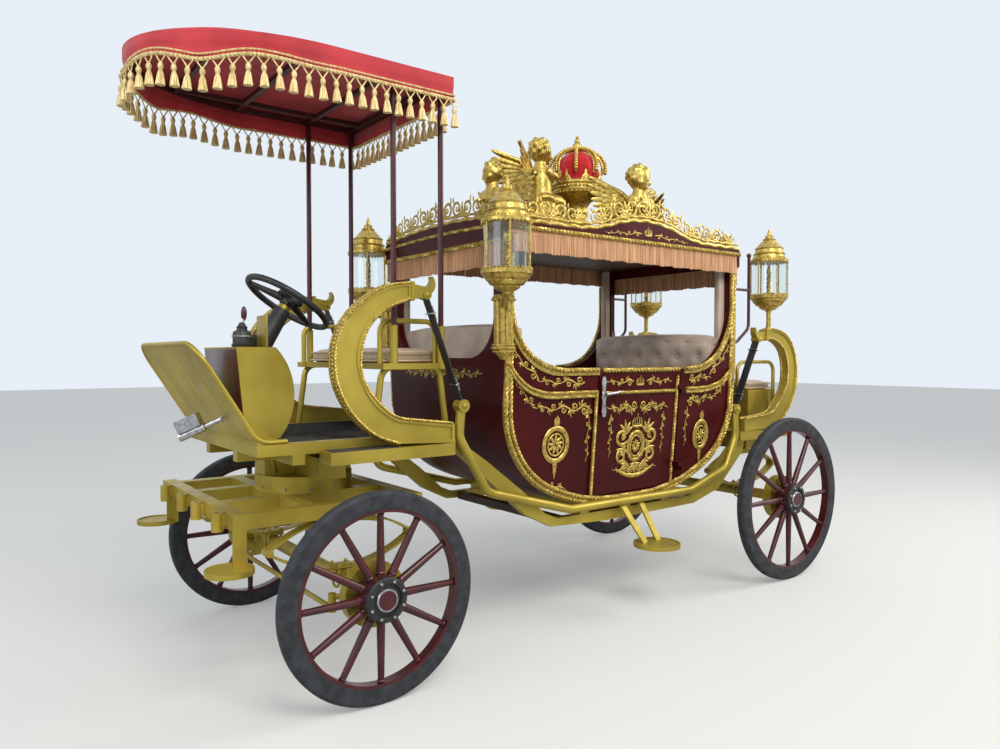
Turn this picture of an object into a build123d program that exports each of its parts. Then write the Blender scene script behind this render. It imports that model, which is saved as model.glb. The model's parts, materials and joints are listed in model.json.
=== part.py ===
from build123d import *
import math
import os

# A state carriage: a gilt and maroon coach body hung by leather straps between
# C-scroll arches, with a driver's platform under a canopy in front, a footman's
# seat behind, and a steerable fore-carriage on a turntable. +X is forward, +Y is
# the carriage's left, +Z is up, and the origin is on the ground at the middle of
# its length.

os.makedirs("parts", exist_ok=True)

# Running gear
BODY_SETBACK = 1569
REAR_SETBACK = 1101
WHEELBASE = BODY_SETBACK + REAR_SETBACK
TRACK = 1436
FRONT_WHEEL_D = 800
REAR_WHEEL_D = 940
TYRE_DEPTH = 46
TYRE_WIDTH = 50
SPOKES = 12
AXLE_R = 30
CANOPY_REACH = 722
SEAT_GAP = 0.3
MOVE_GAP = 6

FRONT_X = (WHEELBASE + REAR_WHEEL_D / 2 - CANOPY_REACH) / 2
REAR_X = FRONT_X - WHEELBASE
FRONT_Z = FRONT_WHEEL_D / 2
REAR_Z = REAR_WHEEL_D / 2
WHEEL_Y = TRACK / 2

# Coach body, with its length from its own middle
BODY_HALF_LENGTH = 838
BODY_HALF_WIDTH = 522
BODY_TUMBLE = 60
BODY_BOTTOM = 540
BELT_Z = 1230
ROOF_Z = 1879
ROOF_RISE = 64
WALL = 35
BODY_X = FRONT_X - BODY_SETBACK
DOOR_REAR = -375
DOOR_FRONT = 250
DOOR_BOTTOM = 590
DOOR_FREE_GAP = 10

# Platforms and frames
DECK_Z = 965
DECK_HALF_WIDTH = 435
DECK_FRONT = 363
DECK_REAR = -544
RIM = 45
ARCH_Y = (DECK_HALF_WIDTH + 37, DECK_HALF_WIDTH + 87)
REAR_DECK_Z = 852
FRAME_TOP = 721
FRAME_TUBE = 56
FRAME_HALF_WIDTH = 474
FRAME_FRONT = 468


def block(x, y, z):
    """A box between three (low, high) pairs."""
    sizes = [high - low for low, high in (x, y, z)]
    middle = [(high + low) / 2 for low, high in (x, y, z)]
    return Pos(*middle) * Box(*sizes)


def outline(start, *steps):
    """A closed face from points (a straight step) and pairs of points (an arc through the first)."""
    edges = []
    here = start
    for step in steps:
        if isinstance(step[0], tuple):
            edges.append(ThreePointArc(here, step[0], step[1]))
            here = step[1]
        else:
            edges.append(Line(here, step))
            here = step
    if here != start:
        edges.append(Line(here, start))
    return make_face(edges)


def side_plate(face, y_low, y_high):
    """A face drawn in X and Z, with its thickness along Y."""
    return extrude(Plane.XZ.offset(-y_high) * face, y_high - y_low)


def end_plate(face, x_low, x_high):
    """A face drawn in Y and Z, with its thickness along X."""
    return extrude(Plane.YZ.offset(x_low) * face, x_high - x_low)


def rod(start, end, radius, end_radius=None):
    """A round bar between two points, tapered where its end radius differs."""
    along = Vector(*end) - Vector(*start)
    place = Plane(origin=start, z_dir=along)
    base = (Align.CENTER, Align.CENTER, Align.MIN)
    if end_radius is None:
        return place * Cylinder(radius, along.length, align=base)
    return place * Cone(radius, end_radius, along.length, align=base)


def bent_tube(points, bend, radius):
    """A round tube along straight runs joined by tangent arcs."""
    path = FilletPolyline(*points, radius=bend)
    start = Plane(origin=path @ 0, z_dir=path % 0)
    return sweep(start * Circle(radius), path=path)


def turned(profile, x, y, z):
    """A solid turned about a vertical line from (radius, height) points."""
    face = make_face(Polyline(*profile, close=True))
    return Pos(x, y, z) * revolve(Plane.XZ * face, Axis.Z)


def both(shape):
    """A piece and its mirror image on the carriage's other side."""
    return [shape, mirror(shape, Plane.XZ)]


def node(name, *shapes):
    """Write one sub-part, as its separate solids."""
    solids = []
    for shape in shapes:
        solids.extend(shape.solids())
    export_step(Compound(solids), f"parts/{name}.step")


# Wheels: twelve tapered spokes in a round felloe, with a rubber tyre
HUB_R = 82
HUB_WIDTH = 70
FELLOE_DEPTH = 34
FELLOE_WIDTH = 44
BORE_R = 22
SPINDLE_R = BORE_R - 0.05
DRUM_R = 125
DRUM_WIDTH = 50
DRUM_Y = WHEEL_Y - HUB_WIDTH / 2 - MOVE_GAP - DRUM_WIDTH


def wheel_parts(diameter, x, side, z):
    """The wheel and its tyre, about an axle along Y."""
    place = Pos(x, side * WHEEL_Y, z) * Rot(-90 * side, 0, 0)
    outer = diameter / 2
    inner = outer - TYRE_DEPTH
    tyre = Cylinder(outer, TYRE_WIDTH) - Cylinder(inner, TYRE_WIDTH)
    tyre = fillet(tyre.edges().filter_by(GeomType.CIRCLE).group_by(SortBy.RADIUS)[-1], TYRE_WIDTH * 0.3)
    felloe = Cylinder(inner, FELLOE_WIDTH) - Cylinder(inner - FELLOE_DEPTH, FELLOE_WIDTH)
    wheel = felloe + Cylinder(HUB_R, HUB_WIDTH)
    for number in range(SPOKES):
        spoke = rod((HUB_R - 12, 0, 0), (inner - FELLOE_DEPTH + 8, 0, 0), 17, 12)
        wheel += Rot(0, 0, 360 / SPOKES * number) * spoke
    cap = Pos(0, 0, HUB_WIDTH / 2 + 12) * Cylinder(36, 24)
    wheel = wheel + cap - Pos(0, 0, -HUB_WIDTH / 2) * Cylinder(BORE_R, HUB_WIDTH, align=(
        Align.CENTER, Align.CENTER, Align.MIN))
    return place * wheel, place * tyre


WHEELS = (
    # name, diameter, x, side, z
    ("front_left", FRONT_WHEEL_D, FRONT_X, 1, FRONT_Z),
    ("front_right", FRONT_WHEEL_D, FRONT_X, -1, FRONT_Z),
    ("rear_left", REAR_WHEEL_D, REAR_X, 1, REAR_Z),
    ("rear_right", REAR_WHEEL_D, REAR_X, -1, REAR_Z),
)
for name, diameter, x, side, z in WHEELS:
    wheel, tyre = wheel_parts(diameter, x, side, z)
    node(f"wheel_{name}", wheel)
    node(f"tyre_{name}", tyre)


def drum_and_spindle(x, z):
    """The brake drum and the spindle that carries a wheel on the left side."""
    drum = rod((x, DRUM_Y, z), (x, DRUM_Y + DRUM_WIDTH, z), DRUM_R)
    spindle = rod((x, DRUM_Y, z), (x, WHEEL_Y + HUB_WIDTH / 2 - MOVE_GAP, z), SPINDLE_R)
    return drum + spindle


# Front axle: a tube between forked ends, a steering knuckle in each fork
PIN_Y = DRUM_Y - 45
PIN_R = 14
FORK_HALF_HEIGHT = 62
KNUCKLE_HALF_HEIGHT = 40
KNUCKLE_R = 30
STEER_ARM = 120
TIE_DROP = 62
TIE_EYE_HALF = 14

fork = block((FRONT_X - 30, FRONT_X + 30), (PIN_Y - 90, PIN_Y - 45), (FRONT_Z - FORK_HALF_HEIGHT,
                                                                  FRONT_Z + FORK_HALF_HEIGHT))
for low, high in ((KNUCKLE_HALF_HEIGHT + 1, FORK_HALF_HEIGHT), (-FORK_HALF_HEIGHT, -KNUCKLE_HALF_HEIGHT - 1)):
    fork += block((FRONT_X - 26, FRONT_X + 26), (PIN_Y - 90, PIN_Y), (FRONT_Z + low, FRONT_Z + high))
    fork += Pos(FRONT_X, PIN_Y, FRONT_Z + (low + high) / 2) * Cylinder(26, high - low)
fork += Pos(FRONT_X, PIN_Y, FRONT_Z) * Cylinder(PIN_R, 2 * FORK_HALF_HEIGHT)
axle_tube = rod((FRONT_X, -PIN_Y + 60, FRONT_Z), (FRONT_X, PIN_Y - 60, FRONT_Z), AXLE_R)
node("front_axle", axle_tube + fork + mirror(fork, Plane.XZ))

arm_end = (FRONT_X + STEER_ARM, PIN_Y - 30, FRONT_Z - TIE_DROP)
knuckle = Pos(FRONT_X, PIN_Y, FRONT_Z) * Cylinder(KNUCKLE_R, 2 * KNUCKLE_HALF_HEIGHT)
knuckle += rod((FRONT_X, PIN_Y, FRONT_Z), (FRONT_X, DRUM_Y + 5, FRONT_Z), 24)
knuckle += drum_and_spindle(FRONT_X, FRONT_Z)
knuckle += rod((FRONT_X + 26, PIN_Y, FRONT_Z - 20), (arm_end[0], arm_end[1], FRONT_Z - 20), 11)
boss_z = (arm_end[2] + TIE_EYE_HALF + SEAT_GAP, FRONT_Z - 5)
knuckle += Pos(arm_end[0], arm_end[1], sum(boss_z) / 2) * Cylinder(15, boss_z[1] - boss_z[0])
knuckle -= Pos(FRONT_X, PIN_Y, FRONT_Z) * Cylinder(PIN_R + 0.05, 2 * FORK_HALF_HEIGHT)
node("knuckle_left", knuckle)
node("knuckle_right", mirror(knuckle, Plane.XZ))

tie = rod((arm_end[0], -arm_end[1], arm_end[2]), arm_end, 10)
for y in (-arm_end[1], arm_end[1]):
    tie += Pos(arm_end[0], y, arm_end[2]) * Cylinder(16, 2 * TIE_EYE_HALF)
node("tie_rod", tie)

# Front springs: full elliptic leaves between the axle and the draw frame
SPRING_HALF_LENGTH = 311
SPRING_WIDTH = 50
SPRING_Y = 391
LEAF = 8
FRAME_UNDER = FRAME_TOP - FRAME_TUBE


def elliptic_spring(x, y, low, high):
    """Two bowed stacks of leaves joined at their eyes, between two seats."""
    middle = (low + high) / 2
    reach = SPRING_HALF_LENGTH
    eye = LEAF * 1.5
    upper = outline((x - reach, middle), ((x, high - LEAF), (x + reach, middle)), (x + reach, middle + eye),
                    ((x, high), (x - reach, middle + eye)))
    lower = outline((x - reach, middle), ((x, low + LEAF), (x + reach, middle)), (x + reach, middle - eye),
                    ((x, low), (x - reach, middle - eye)))
    spring = side_plate(upper, y - SPRING_WIDTH / 2, y + SPRING_WIDTH / 2)
    spring += side_plate(lower, y - SPRING_WIDTH / 2, y + SPRING_WIDTH / 2)
    for count, share in ((1, 0.72), (2, 0.48)):
        half = reach * share
        spring += block((x - half, x + half), (y - SPRING_WIDTH / 2, y + SPRING_WIDTH / 2),
                        (high - LEAF * 3 * count, high - LEAF)) & side_plate(
            outline((x - reach, middle), ((x, high - LEAF * (1 + count)), (x + reach, middle)),
                    (x + reach, middle + eye), ((x, high), (x - reach, middle + eye))),
            y - SPRING_WIDTH / 2, y + SPRING_WIDTH / 2)
    for end in (-1, 1):
        spring += Pos(x + end * reach, y, middle) * Rot(90, 0, 0) * Cylinder(16, SPRING_WIDTH)
    return spring


AXLE_TOP = FRONT_Z + AXLE_R
spring = elliptic_spring(FRONT_X, SPRING_Y, AXLE_TOP + 10, FRAME_UNDER - 10)
seats = block((FRONT_X - 45, FRONT_X + 45), (SPRING_Y - 30, SPRING_Y + 30), (FRAME_UNDER - 11, FRAME_UNDER))
foot = block((FRONT_X - 45, FRONT_X + 45), (SPRING_Y - 30, SPRING_Y + 30), (AXLE_TOP - 4, AXLE_TOP + 11))
foot -= rod((FRONT_X, 0, FRONT_Z), (FRONT_X, PIN_Y, FRONT_Z), AXLE_R + SEAT_GAP)
node("front_springs", *both(spring + seats + foot))

# Draw frame: square tubes under the turntable, out to the hitch lugs and steps
FRAME_REAR = -330
FRAME_BAY = 130
SIDE_BAR = (FRAME_HALF_WIDTH - FRAME_TUBE, FRAME_HALF_WIDTH)
BARS = (
    # x low, x high, y low, y high
    (FRAME_REAR, FRAME_FRONT, *SIDE_BAR),
    (FRAME_REAR, FRAME_FRONT, -SIDE_BAR[1], -SIDE_BAR[0]),
    (FRAME_REAR, FRAME_FRONT, FRAME_BAY, FRAME_BAY + FRAME_TUBE),
    (FRAME_REAR, FRAME_FRONT, -FRAME_BAY - FRAME_TUBE, -FRAME_BAY),
    (FRAME_BAY, FRAME_BAY + FRAME_TUBE, -FRAME_HALF_WIDTH, FRAME_HALF_WIDTH),
    (FRAME_REAR, FRAME_REAR + FRAME_TUBE, -FRAME_HALF_WIDTH, FRAME_HALF_WIDTH),
)
FRONT_BAR_END = 60
frame = block((FRONT_X + FRAME_FRONT - FRAME_TUBE, FRONT_X + FRAME_FRONT),
              (-FRAME_HALF_WIDTH - FRONT_BAR_END, FRAME_HALF_WIDTH), (FRAME_UNDER, FRAME_TOP))
for x_low, x_high, y_low, y_high in BARS:
    frame += block((FRONT_X + x_low, FRONT_X + x_high), (y_low, y_high), (FRAME_UNDER, FRAME_TOP))

# hitch lugs on the front bar, and the treads hung from its ends
LUG_R = 22
LUG_BORE_R = 12
LUG_HEIGHT = 70
LUG_TONGUE = (34, 44)
LUG_YS = (-375, -105, 105, 375)
TREAD_R = 86
TREAD_Z = 537
TREAD_AHEAD = 497
TREAD_OUT = 55
TREAD_PLATE = 12
TREAD_RIM = 8
HANGER = (8, 50)
lug_x = FRONT_X + FRAME_FRONT + LUG_R + 4
lug_z = FRAME_TOP - LUG_HEIGHT / 2
for y in LUG_YS:
    lug = Pos(lug_x, y, lug_z) * Cylinder(LUG_R, LUG_HEIGHT)
    lug += block((FRONT_X + FRAME_FRONT - 20, lug_x), (y - LUG_TONGUE[0] / 2, y + LUG_TONGUE[0] / 2),
                 (FRAME_TOP - LUG_TONGUE[1] - 6, FRAME_TOP - 6))
    frame += lug
    frame -= Pos(lug_x, y, lug_z) * Cylinder(LUG_BORE_R, LUG_HEIGHT)


def round_tread(radius):
    """A step's round plate, with a rim standing proud above and below."""
    rim = Cylinder(radius, TREAD_PLATE + 8) - Cylinder(radius - TREAD_RIM, TREAD_PLATE + 8)
    return Cylinder(radius - 1, TREAD_PLATE) + rim


for side in (-1, 1):
    y = side * (FRAME_HALF_WIDTH - HANGER[0] / 2)
    x = FRONT_X + FRAME_FRONT - HANGER[1] / 2
    frame += block((x - HANGER[1] / 2, x + HANGER[1] / 2), (y - HANGER[0] / 2, y + HANGER[0] / 2),
                   (TREAD_Z - 4, FRAME_TOP))
    frame += Pos(FRONT_X + TREAD_AHEAD, y + side * TREAD_OUT, TREAD_Z) * round_tread(TREAD_R)

# the steering box on the frame's cross bar, and the foot of the shaft that enters it
STEER_BOX = (88, FRAME_BAY + 1)
STEER_FOOT = (FRONT_X + 105, 10, FRAME_UNDER + 20)
frame += block((FRONT_X + STEER_BOX[0], FRONT_X + STEER_BOX[1]), (-28, 48), (FRAME_UNDER - 50, FRAME_UNDER + 28))
frame += rod(STEER_FOOT, (FRONT_X + 112, 16, FRAME_TOP - 4), 10)
node("draw_frame", frame)

# Turntable: a ring on the draw frame, turning under a bolster on the platform
RING_R = 210
RING_Z = (FRAME_TOP, 757)
PLATE_Z = (757 + SEAT_GAP, 790)
KING_R = 25
ring = Pos(FRONT_X, 0, sum(RING_Z) / 2) * Cylinder(RING_R, RING_Z[1] - RING_Z[0])
ring -= Pos(FRONT_X, 0, sum(RING_Z) / 2) * Cylinder(RING_R - 40, RING_Z[1] - RING_Z[0])
ring += block((FRONT_X - 40, FRONT_X + 40), (-RING_R + 20, RING_R - 20), RING_Z)
ring -= Pos(FRONT_X, 0, sum(RING_Z) / 2) * Cylinder(KING_R + 0.05, RING_Z[1] - RING_Z[0])
node("turntable_ring", ring)

DECK_UNDER = DECK_Z - RIM
BOLSTER_TOP = 879
plate = Pos(FRONT_X, 0, sum(PLATE_Z) / 2) * Cylinder(RING_R, PLATE_Z[1] - PLATE_Z[0])
plate += block((FRONT_X - 60, FRONT_X + 60), (-RING_R - 90, RING_R + 90), (PLATE_Z[1] - 1, BOLSTER_TOP))
plate += block((FRONT_X - 200, FRONT_X + 200), (-60, 60), (PLATE_Z[1] - 1, BOLSTER_TOP))
plate += Pos(FRONT_X, 0, (RING_Z[0] - 30 + PLATE_Z[1]) / 2) * Cylinder(KING_R, PLATE_Z[1] - RING_Z[0] + 30)
node("turntable_bolster", plate)

# Driver's platform: a rim of square tube, cross members and side boxes
SIDE_BOX = (-455, 114)
deck_x = (FRONT_X + DECK_REAR, FRONT_X + DECK_FRONT)
rim = block(deck_x, (-DECK_HALF_WIDTH, DECK_HALF_WIDTH), (DECK_UNDER, DECK_Z))
rim -= block((deck_x[0] + RIM, deck_x[1] - RIM), (-DECK_HALF_WIDTH + RIM, DECK_HALF_WIDTH - RIM),
             (DECK_UNDER, DECK_Z))
for y in (-180, 180):
    rim += block(deck_x, (y - 25, y + 25), (BOLSTER_TOP, DECK_Z - 12))
for x in (-200, 200):
    rim += block((FRONT_X + x - 25, FRONT_X + x + 25), (-DECK_HALF_WIDTH, DECK_HALF_WIDTH),
                 (BOLSTER_TOP, DECK_Z - 12))
BOX_TOP = 929
for side in (-1, 1):
    y_pair = sorted((side * (DECK_HALF_WIDTH - 5), side * (ARCH_Y[1] + 17)))
    rim += block((FRONT_X + SIDE_BOX[0], FRONT_X + SIDE_BOX[1]), y_pair, (BOLSTER_TOP, BOX_TOP))
node("platform_frame", rim)
deck = block((deck_x[0] + RIM + SEAT_GAP, deck_x[1] - RIM - SEAT_GAP),
             (-DECK_HALF_WIDTH + RIM + SEAT_GAP, DECK_HALF_WIDTH - RIM - SEAT_GAP), (DECK_Z - 12, DECK_Z - 2))
node("platform_deck", deck)

# Footboard: a sheet leaning forward from the deck, with a rolled rim that sweeps down into the deck's edge
BOARD_TOP = (588, 1348)
BOARD_SHEET = 7
BOARD_CORNER = 105
BOARD_SWEEP = 80
BOARD_RIM_R = 9
BOARD_FOOT = 110
foot_x = FRONT_X + DECK_FRONT - BOARD_RIM_R
head_x = FRONT_X + BOARD_TOP[0]
rim_z = DECK_Z + BOARD_RIM_R + SEAT_GAP
rim_y = DECK_HALF_WIDTH - BOARD_RIM_R
board_up = (Vector(head_x, 0, BOARD_TOP[1]) - Vector(foot_x, 0, rim_z)).normalized()
sheet = Plane(origin=(foot_x, 0, rim_z), x_dir=(0, 1, 0), z_dir=Vector(0, 1, 0).cross(board_up))
board_length = (Vector(head_x, 0, BOARD_TOP[1]) - Vector(foot_x, 0, rim_z)).length
sheet_face = Pos(0, board_length / 2) * Rectangle(2 * rim_y, board_length)
sheet_face = fillet(sheet_face.vertices().sort_by(Axis.Y)[-2:], BOARD_CORNER)
board = extrude(sheet * sheet_face, BOARD_SHEET / 2, both=True)
board += block((foot_x - BOARD_FOOT, foot_x + 4), (-rim_y, rim_y), (DECK_Z, DECK_Z + BOARD_RIM_R))
board += bent_tube([(foot_x - BOARD_FOOT, -rim_y, rim_z), (foot_x, -rim_y, rim_z), (head_x, -rim_y, BOARD_TOP[1]),
                    (head_x, rim_y, BOARD_TOP[1]), (foot_x, rim_y, rim_z), (foot_x - BOARD_FOOT, rim_y, rim_z)],
                   [BOARD_SWEEP, BOARD_CORNER, BOARD_CORNER, BOARD_SWEEP], BOARD_RIM_R)
node("footboard", board)

# Console with the steering column
CONSOLE_HALF_WIDTH = 215
CONSOLE_Z = (DECK_Z - 2 + SEAT_GAP, 1337)
console_face = outline((FRONT_X + 330, CONSOLE_Z[0]), (FRONT_X + 366, CONSOLE_Z[1]), (FRONT_X + 206, CONSOLE_Z[1]),
                       ((FRONT_X + 132, 1190), (FRONT_X + 192, CONSOLE_Z[0])))
console = side_plate(console_face, -CONSOLE_HALF_WIDTH, CONSOLE_HALF_WIDTH)
STEER_HUB = (FRONT_X + 70, 0, 1535)
STEER_DIR = Vector(-130, 0, 200).normalized()
COLUMN_FOOT = Vector(*STEER_HUB) - STEER_DIR * 250
column_end = Vector(*STEER_HUB) - STEER_DIR * (19 + SEAT_GAP)
console += rod(tuple(COLUMN_FOOT), tuple(column_end), 24)
console -= block((foot_x - BOARD_FOOT - 1, FRONT_X + 400), (-CONSOLE_HALF_WIDTH - 1, CONSOLE_HALF_WIDTH + 1),
                 (DECK_Z - 3, DECK_Z + BOARD_RIM_R + SEAT_GAP))
node("steering_console", console)
steer_plane = Plane(origin=STEER_HUB, z_dir=STEER_DIR)
steering = steer_plane * (Torus(190, 14) + Cylinder(32, 30))
for turn in (90, 210, 330):
    steering += steer_plane * Rot(0, 0, turn) * rod((20, 0, 0), (184, 0, 0), 10)
steering += steer_plane * Pos(0, 0, -16) * Cylinder(18, 6)
node("steering_wheel", steering)

# Steering shaft: from the console's foot down to its joint above the turntable ring
SHAFT_TOP = (FRONT_X + 205, 95, DECK_Z - 12 - SEAT_GAP)
SHAFT_LOW = (FRONT_X + 138, 44, RING_Z[1] + 18)
shaft = rod(SHAFT_LOW, SHAFT_TOP, 11) + Pos(*SHAFT_LOW) * Sphere(15)
shaft += rod(SHAFT_TOP, (SHAFT_TOP[0], SHAFT_TOP[1], SHAFT_TOP[2] - 30), 20)
shaft -= block((FRONT_X, FRONT_X + 400), (-200, 200), (DECK_Z - 12 - SEAT_GAP, DECK_Z + 40))
shaft -= plate
shaft -= rim
node("steering_shaft", shaft.solids().sort_by(SortBy.VOLUME)[-1])

# Driver's bench: bent legs, side rails that carry the canopy's posts, and armrests
SEAT_TOP = 1330
BENCH = (-470, -170)
BENCH_Y = 400
LEG_R = 14
ARM_R = 11
ARM_Z = SEAT_TOP + 120
BENCH_RAIL_Z = (SEAT_TOP - 85, SEAT_TOP - 60)
POSTS = (-449, -217)
POST_R = 12
POST_Y = 435
SLEEVE_R = 17
SLEEVE_TOP = 1430
bench = block((FRONT_X + BENCH[0], FRONT_X + BENCH[1]), (-BENCH_Y, BENCH_Y), BENCH_RAIL_Z)
for y in (-BENCH_Y, BENCH_Y):
    rail_y = sorted((y * 0.95, math.copysign(POST_Y + SLEEVE_R, y)))
    bench += block((FRONT_X + BENCH[0] - 12, FRONT_X + BENCH[1] + 12), rail_y, BENCH_RAIL_Z)
    bench += bent_tube([(FRONT_X + BENCH[1] + 30, y, DECK_Z), (FRONT_X + BENCH[1] - 10, y, SEAT_TOP - 75),
                        (FRONT_X + BENCH[0] + 10, y, SEAT_TOP - 75), (FRONT_X + BENCH[0] - 30, y, DECK_Z)],
                       60, LEG_R)
    bench += bent_tube([(FRONT_X + BENCH[1], y, SEAT_TOP - 75), (FRONT_X + BENCH[1], y, ARM_Z),
                        (FRONT_X + BENCH[0] + 30, y, ARM_Z), (FRONT_X + BENCH[0] + 30, y, SEAT_TOP - 75)],
                       50, ARM_R)
for x in POSTS:
    for y in (-POST_Y, POST_Y):
        sleeve = rod((FRONT_X + x, y, BENCH_RAIL_Z[1] - 2), (FRONT_X + x, y, SLEEVE_TOP), SLEEVE_R)
        bench += sleeve
        bench -= rod((FRONT_X + x, y, BENCH_RAIL_Z[1]), (FRONT_X + x, y, SLEEVE_TOP + 1), POST_R + SEAT_GAP)
bench -= block(deck_x, (-DECK_HALF_WIDTH, DECK_HALF_WIDTH), (DECK_UNDER, DECK_Z))
node("driver_bench", bench)
cushion = block((FRONT_X + BENCH[0] - 10, FRONT_X + BENCH[1] - 14), (-BENCH_Y + 20, BENCH_Y - 20),
                (BENCH_RAIL_Z[1] + SEAT_GAP, SEAT_TOP))
cushion = fillet(cushion.edges().group_by(Axis.Z)[-1], 18)
node("driver_cushion", cushion)

# Canopy over the driver, on four posts
CANOPY_TOP = 2560
CANOPY_EDGE = 2400
CANOPY_HALF_WIDTH = 478
CANOPY_BACK = -495
RAIL_Z = (2470, 2490)
posts = []
for x in POSTS:
    for y in (-POST_Y, POST_Y):
        post = rod((FRONT_X + x, y, BENCH_RAIL_Z[1]), (FRONT_X + x, y, RAIL_Z[0]), POST_R)
        posts.append(post)
node("canopy_posts", *posts)
CLOTH = 10
CANOPY_ROUND = 662
CANOPY_VALANCE_TOP = 2508


def canopy_plan(inset):
    """The canopy from above: straight sides and a rounded front, or the same line inside it."""
    back = FRONT_X + CANOPY_BACK + inset
    front = FRONT_X + CANOPY_REACH - inset
    half = CANOPY_HALF_WIDTH - inset
    turn = FRONT_X + CANOPY_REACH - CANOPY_ROUND
    round_x = front - turn
    side = (turn + round_x * math.sin(math.radians(50)), half * math.cos(math.radians(50)))
    low = (turn + round_x * math.sin(math.radians(25)), half * math.cos(math.radians(25)))
    high = (turn + round_x * math.sin(math.radians(72)), half * math.cos(math.radians(72)))
    return outline((back, -half), (turn, -half), ((low[0], -low[1]), (side[0], -side[1])),
                   ((high[0], -high[1]), (front, 0)), (high, side), (low, (turn, half)), (back, half))


def canopy_dome(inset):
    """The cloth's crown over the plan, arched along and across."""
    back = FRONT_X + CANOPY_BACK
    front = FRONT_X + CANOPY_REACH
    rim = CANOPY_VALANCE_TOP - inset
    top = CANOPY_TOP - inset
    along = outline((back, CANOPY_EDGE - 50), (back, rim), (((back + front) / 2, top), (front, rim)),
                    (front, CANOPY_EDGE - 50))
    half = CANOPY_HALF_WIDTH
    across = outline((-half, CANOPY_EDGE - 50), (-half, rim), ((0, top), (half, rim)), (half, CANOPY_EDGE - 50))
    return side_plate(along, -half, half) & end_plate(across, back, front)


def canopy_solid(inset, low, high):
    """The canopy's space between two heights, inside its cloth by an inset."""
    prism = extrude(Pos(0, 0, low) * canopy_plan(inset), high - low)
    return prism & canopy_dome(inset)


rail_edge = CLOTH + SEAT_GAP
rail_ring = extrude(Pos(0, 0, RAIL_Z[0]) * canopy_plan(rail_edge), RAIL_Z[1] - RAIL_Z[0])
rails = rail_ring - extrude(Pos(0, 0, RAIL_Z[0]) * canopy_plan(rail_edge + 22), RAIL_Z[1] - RAIL_Z[0])
for x in POSTS + (140, 440):
    bar = block((FRONT_X + x - 11, FRONT_X + x + 11), (-CANOPY_HALF_WIDTH, CANOPY_HALF_WIDTH), RAIL_Z)
    rails += bar & rail_ring
for y in (-POST_Y + 100, POST_Y - 100):
    bar = block((FRONT_X + CANOPY_BACK + 20, FRONT_X + 440), (y - 11, y + 11), RAIL_Z)
    rails += bar & rail_ring
node("canopy_frame", rails)
canopy = canopy_solid(0, CANOPY_EDGE, CANOPY_TOP + 10)
canopy -= canopy_solid(CLOTH, CANOPY_EDGE, CANOPY_TOP)
node("canopy", canopy)

# C-scroll arches: a flat web between raised rims, ending in a collar and a curled tip with the strap's eye
ARCH_RIM = 15
ARCH_RECESS = 7
EYE_R = 19
EYE_BORE_R = 8


def scroll_arch(face):
    """An arch of full thickness, with its web set back inside the rims on both faces."""
    web = offset(face, amount=-ARCH_RIM)
    solid = side_plate(face, *ARCH_Y)
    solid -= side_plate(web, ARCH_Y[0] - 1, ARCH_Y[0] + ARCH_RECESS)
    solid -= side_plate(web, ARCH_Y[1] - ARCH_RECESS, ARCH_Y[1] + 1)
    return solid


def across_arch(x, z, radius, reach=0):
    """A round bar through the arch from side to side."""
    width = ARCH_Y[1] - ARCH_Y[0] + 2 * reach
    return Pos(x, sum(ARCH_Y) / 2, z) * Rot(90, 0, 0) * Cylinder(radius, width)


front_face = outline((FRONT_X - 465, BOX_TOP), (FRONT_X - 195, BOX_TOP + 14),
                     ((FRONT_X + 27, 1090), (FRONT_X + 88, 1262)), ((FRONT_X + 4, 1485), (FRONT_X - 230, 1602)),
                     (FRONT_X - 256, 1602), (FRONT_X - 256, 1535),
                     ((FRONT_X - 92, 1456), (FRONT_X - 22, 1290)), ((FRONT_X - 68, 1150), (FRONT_X - 196, 1046)),
                     (FRONT_X - 465, 1010))
FRONT_TIP = (FRONT_X - 330, 1556)
front_neck = outline((FRONT_X - 250, 1600), (FRONT_X - 320, 1590), ((FRONT_X - 352, 1602), (FRONT_X - 358, 1634)),
                     ((FRONT_X - 372, 1596), FRONT_TIP), (FRONT_TIP[0] - 12, FRONT_TIP[1] - 14),
                     (FRONT_X - 250, 1540))
arch = scroll_arch(front_face) + side_plate(front_neck, ARCH_Y[0] + 6, ARCH_Y[1] - 6)
arch += across_arch(*FRONT_TIP, EYE_R) - across_arch(*FRONT_TIP, EYE_BORE_R, 2)
arch += block((FRONT_X - 266, FRONT_X - 252), (ARCH_Y[0] - 4, ARCH_Y[1] + 4), (1529, 1608))
node("front_arches", *both(arch))

REAR_UNDER = 800
rear_face = outline((REAR_X + 150, REAR_DECK_Z), (REAR_X - 134, REAR_DECK_Z + 8),
                    ((REAR_X - 330, 1010), (REAR_X - 389, 1195)), ((REAR_X - 320, 1390), (REAR_X - 114, 1462)),
                    (REAR_X - 60, 1452), (REAR_X - 60, 1398), (REAR_X - 110, 1405),
                    ((REAR_X - 245, 1340), (REAR_X - 290, 1195)), ((REAR_X - 240, 1060), (REAR_X - 100, 945)),
                    (REAR_X + 150, 925))
REAR_TIP = (REAR_X + 8, 1400)
rear_neck = outline((REAR_X - 66, 1452), (REAR_X - 20, 1440), ((REAR_X + 22, 1446), (REAR_X + 42, 1470)),
                    ((REAR_X + 40, 1432), (REAR_TIP[0] + 12, REAR_TIP[1])), (REAR_TIP[0], REAR_TIP[1] - 12),
                    (REAR_X - 66, 1402))
rear_arch = scroll_arch(rear_face) + side_plate(rear_neck, ARCH_Y[0] + 6, ARCH_Y[1] - 6)
rear_arch += across_arch(*REAR_TIP, EYE_R) - across_arch(*REAR_TIP, EYE_BORE_R, 2)
rear_arch += block((REAR_X - 72, REAR_X - 58), (ARCH_Y[0] - 4, ARCH_Y[1] + 4), (1392, 1458))
node("rear_arches", *both(rear_arch))

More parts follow.
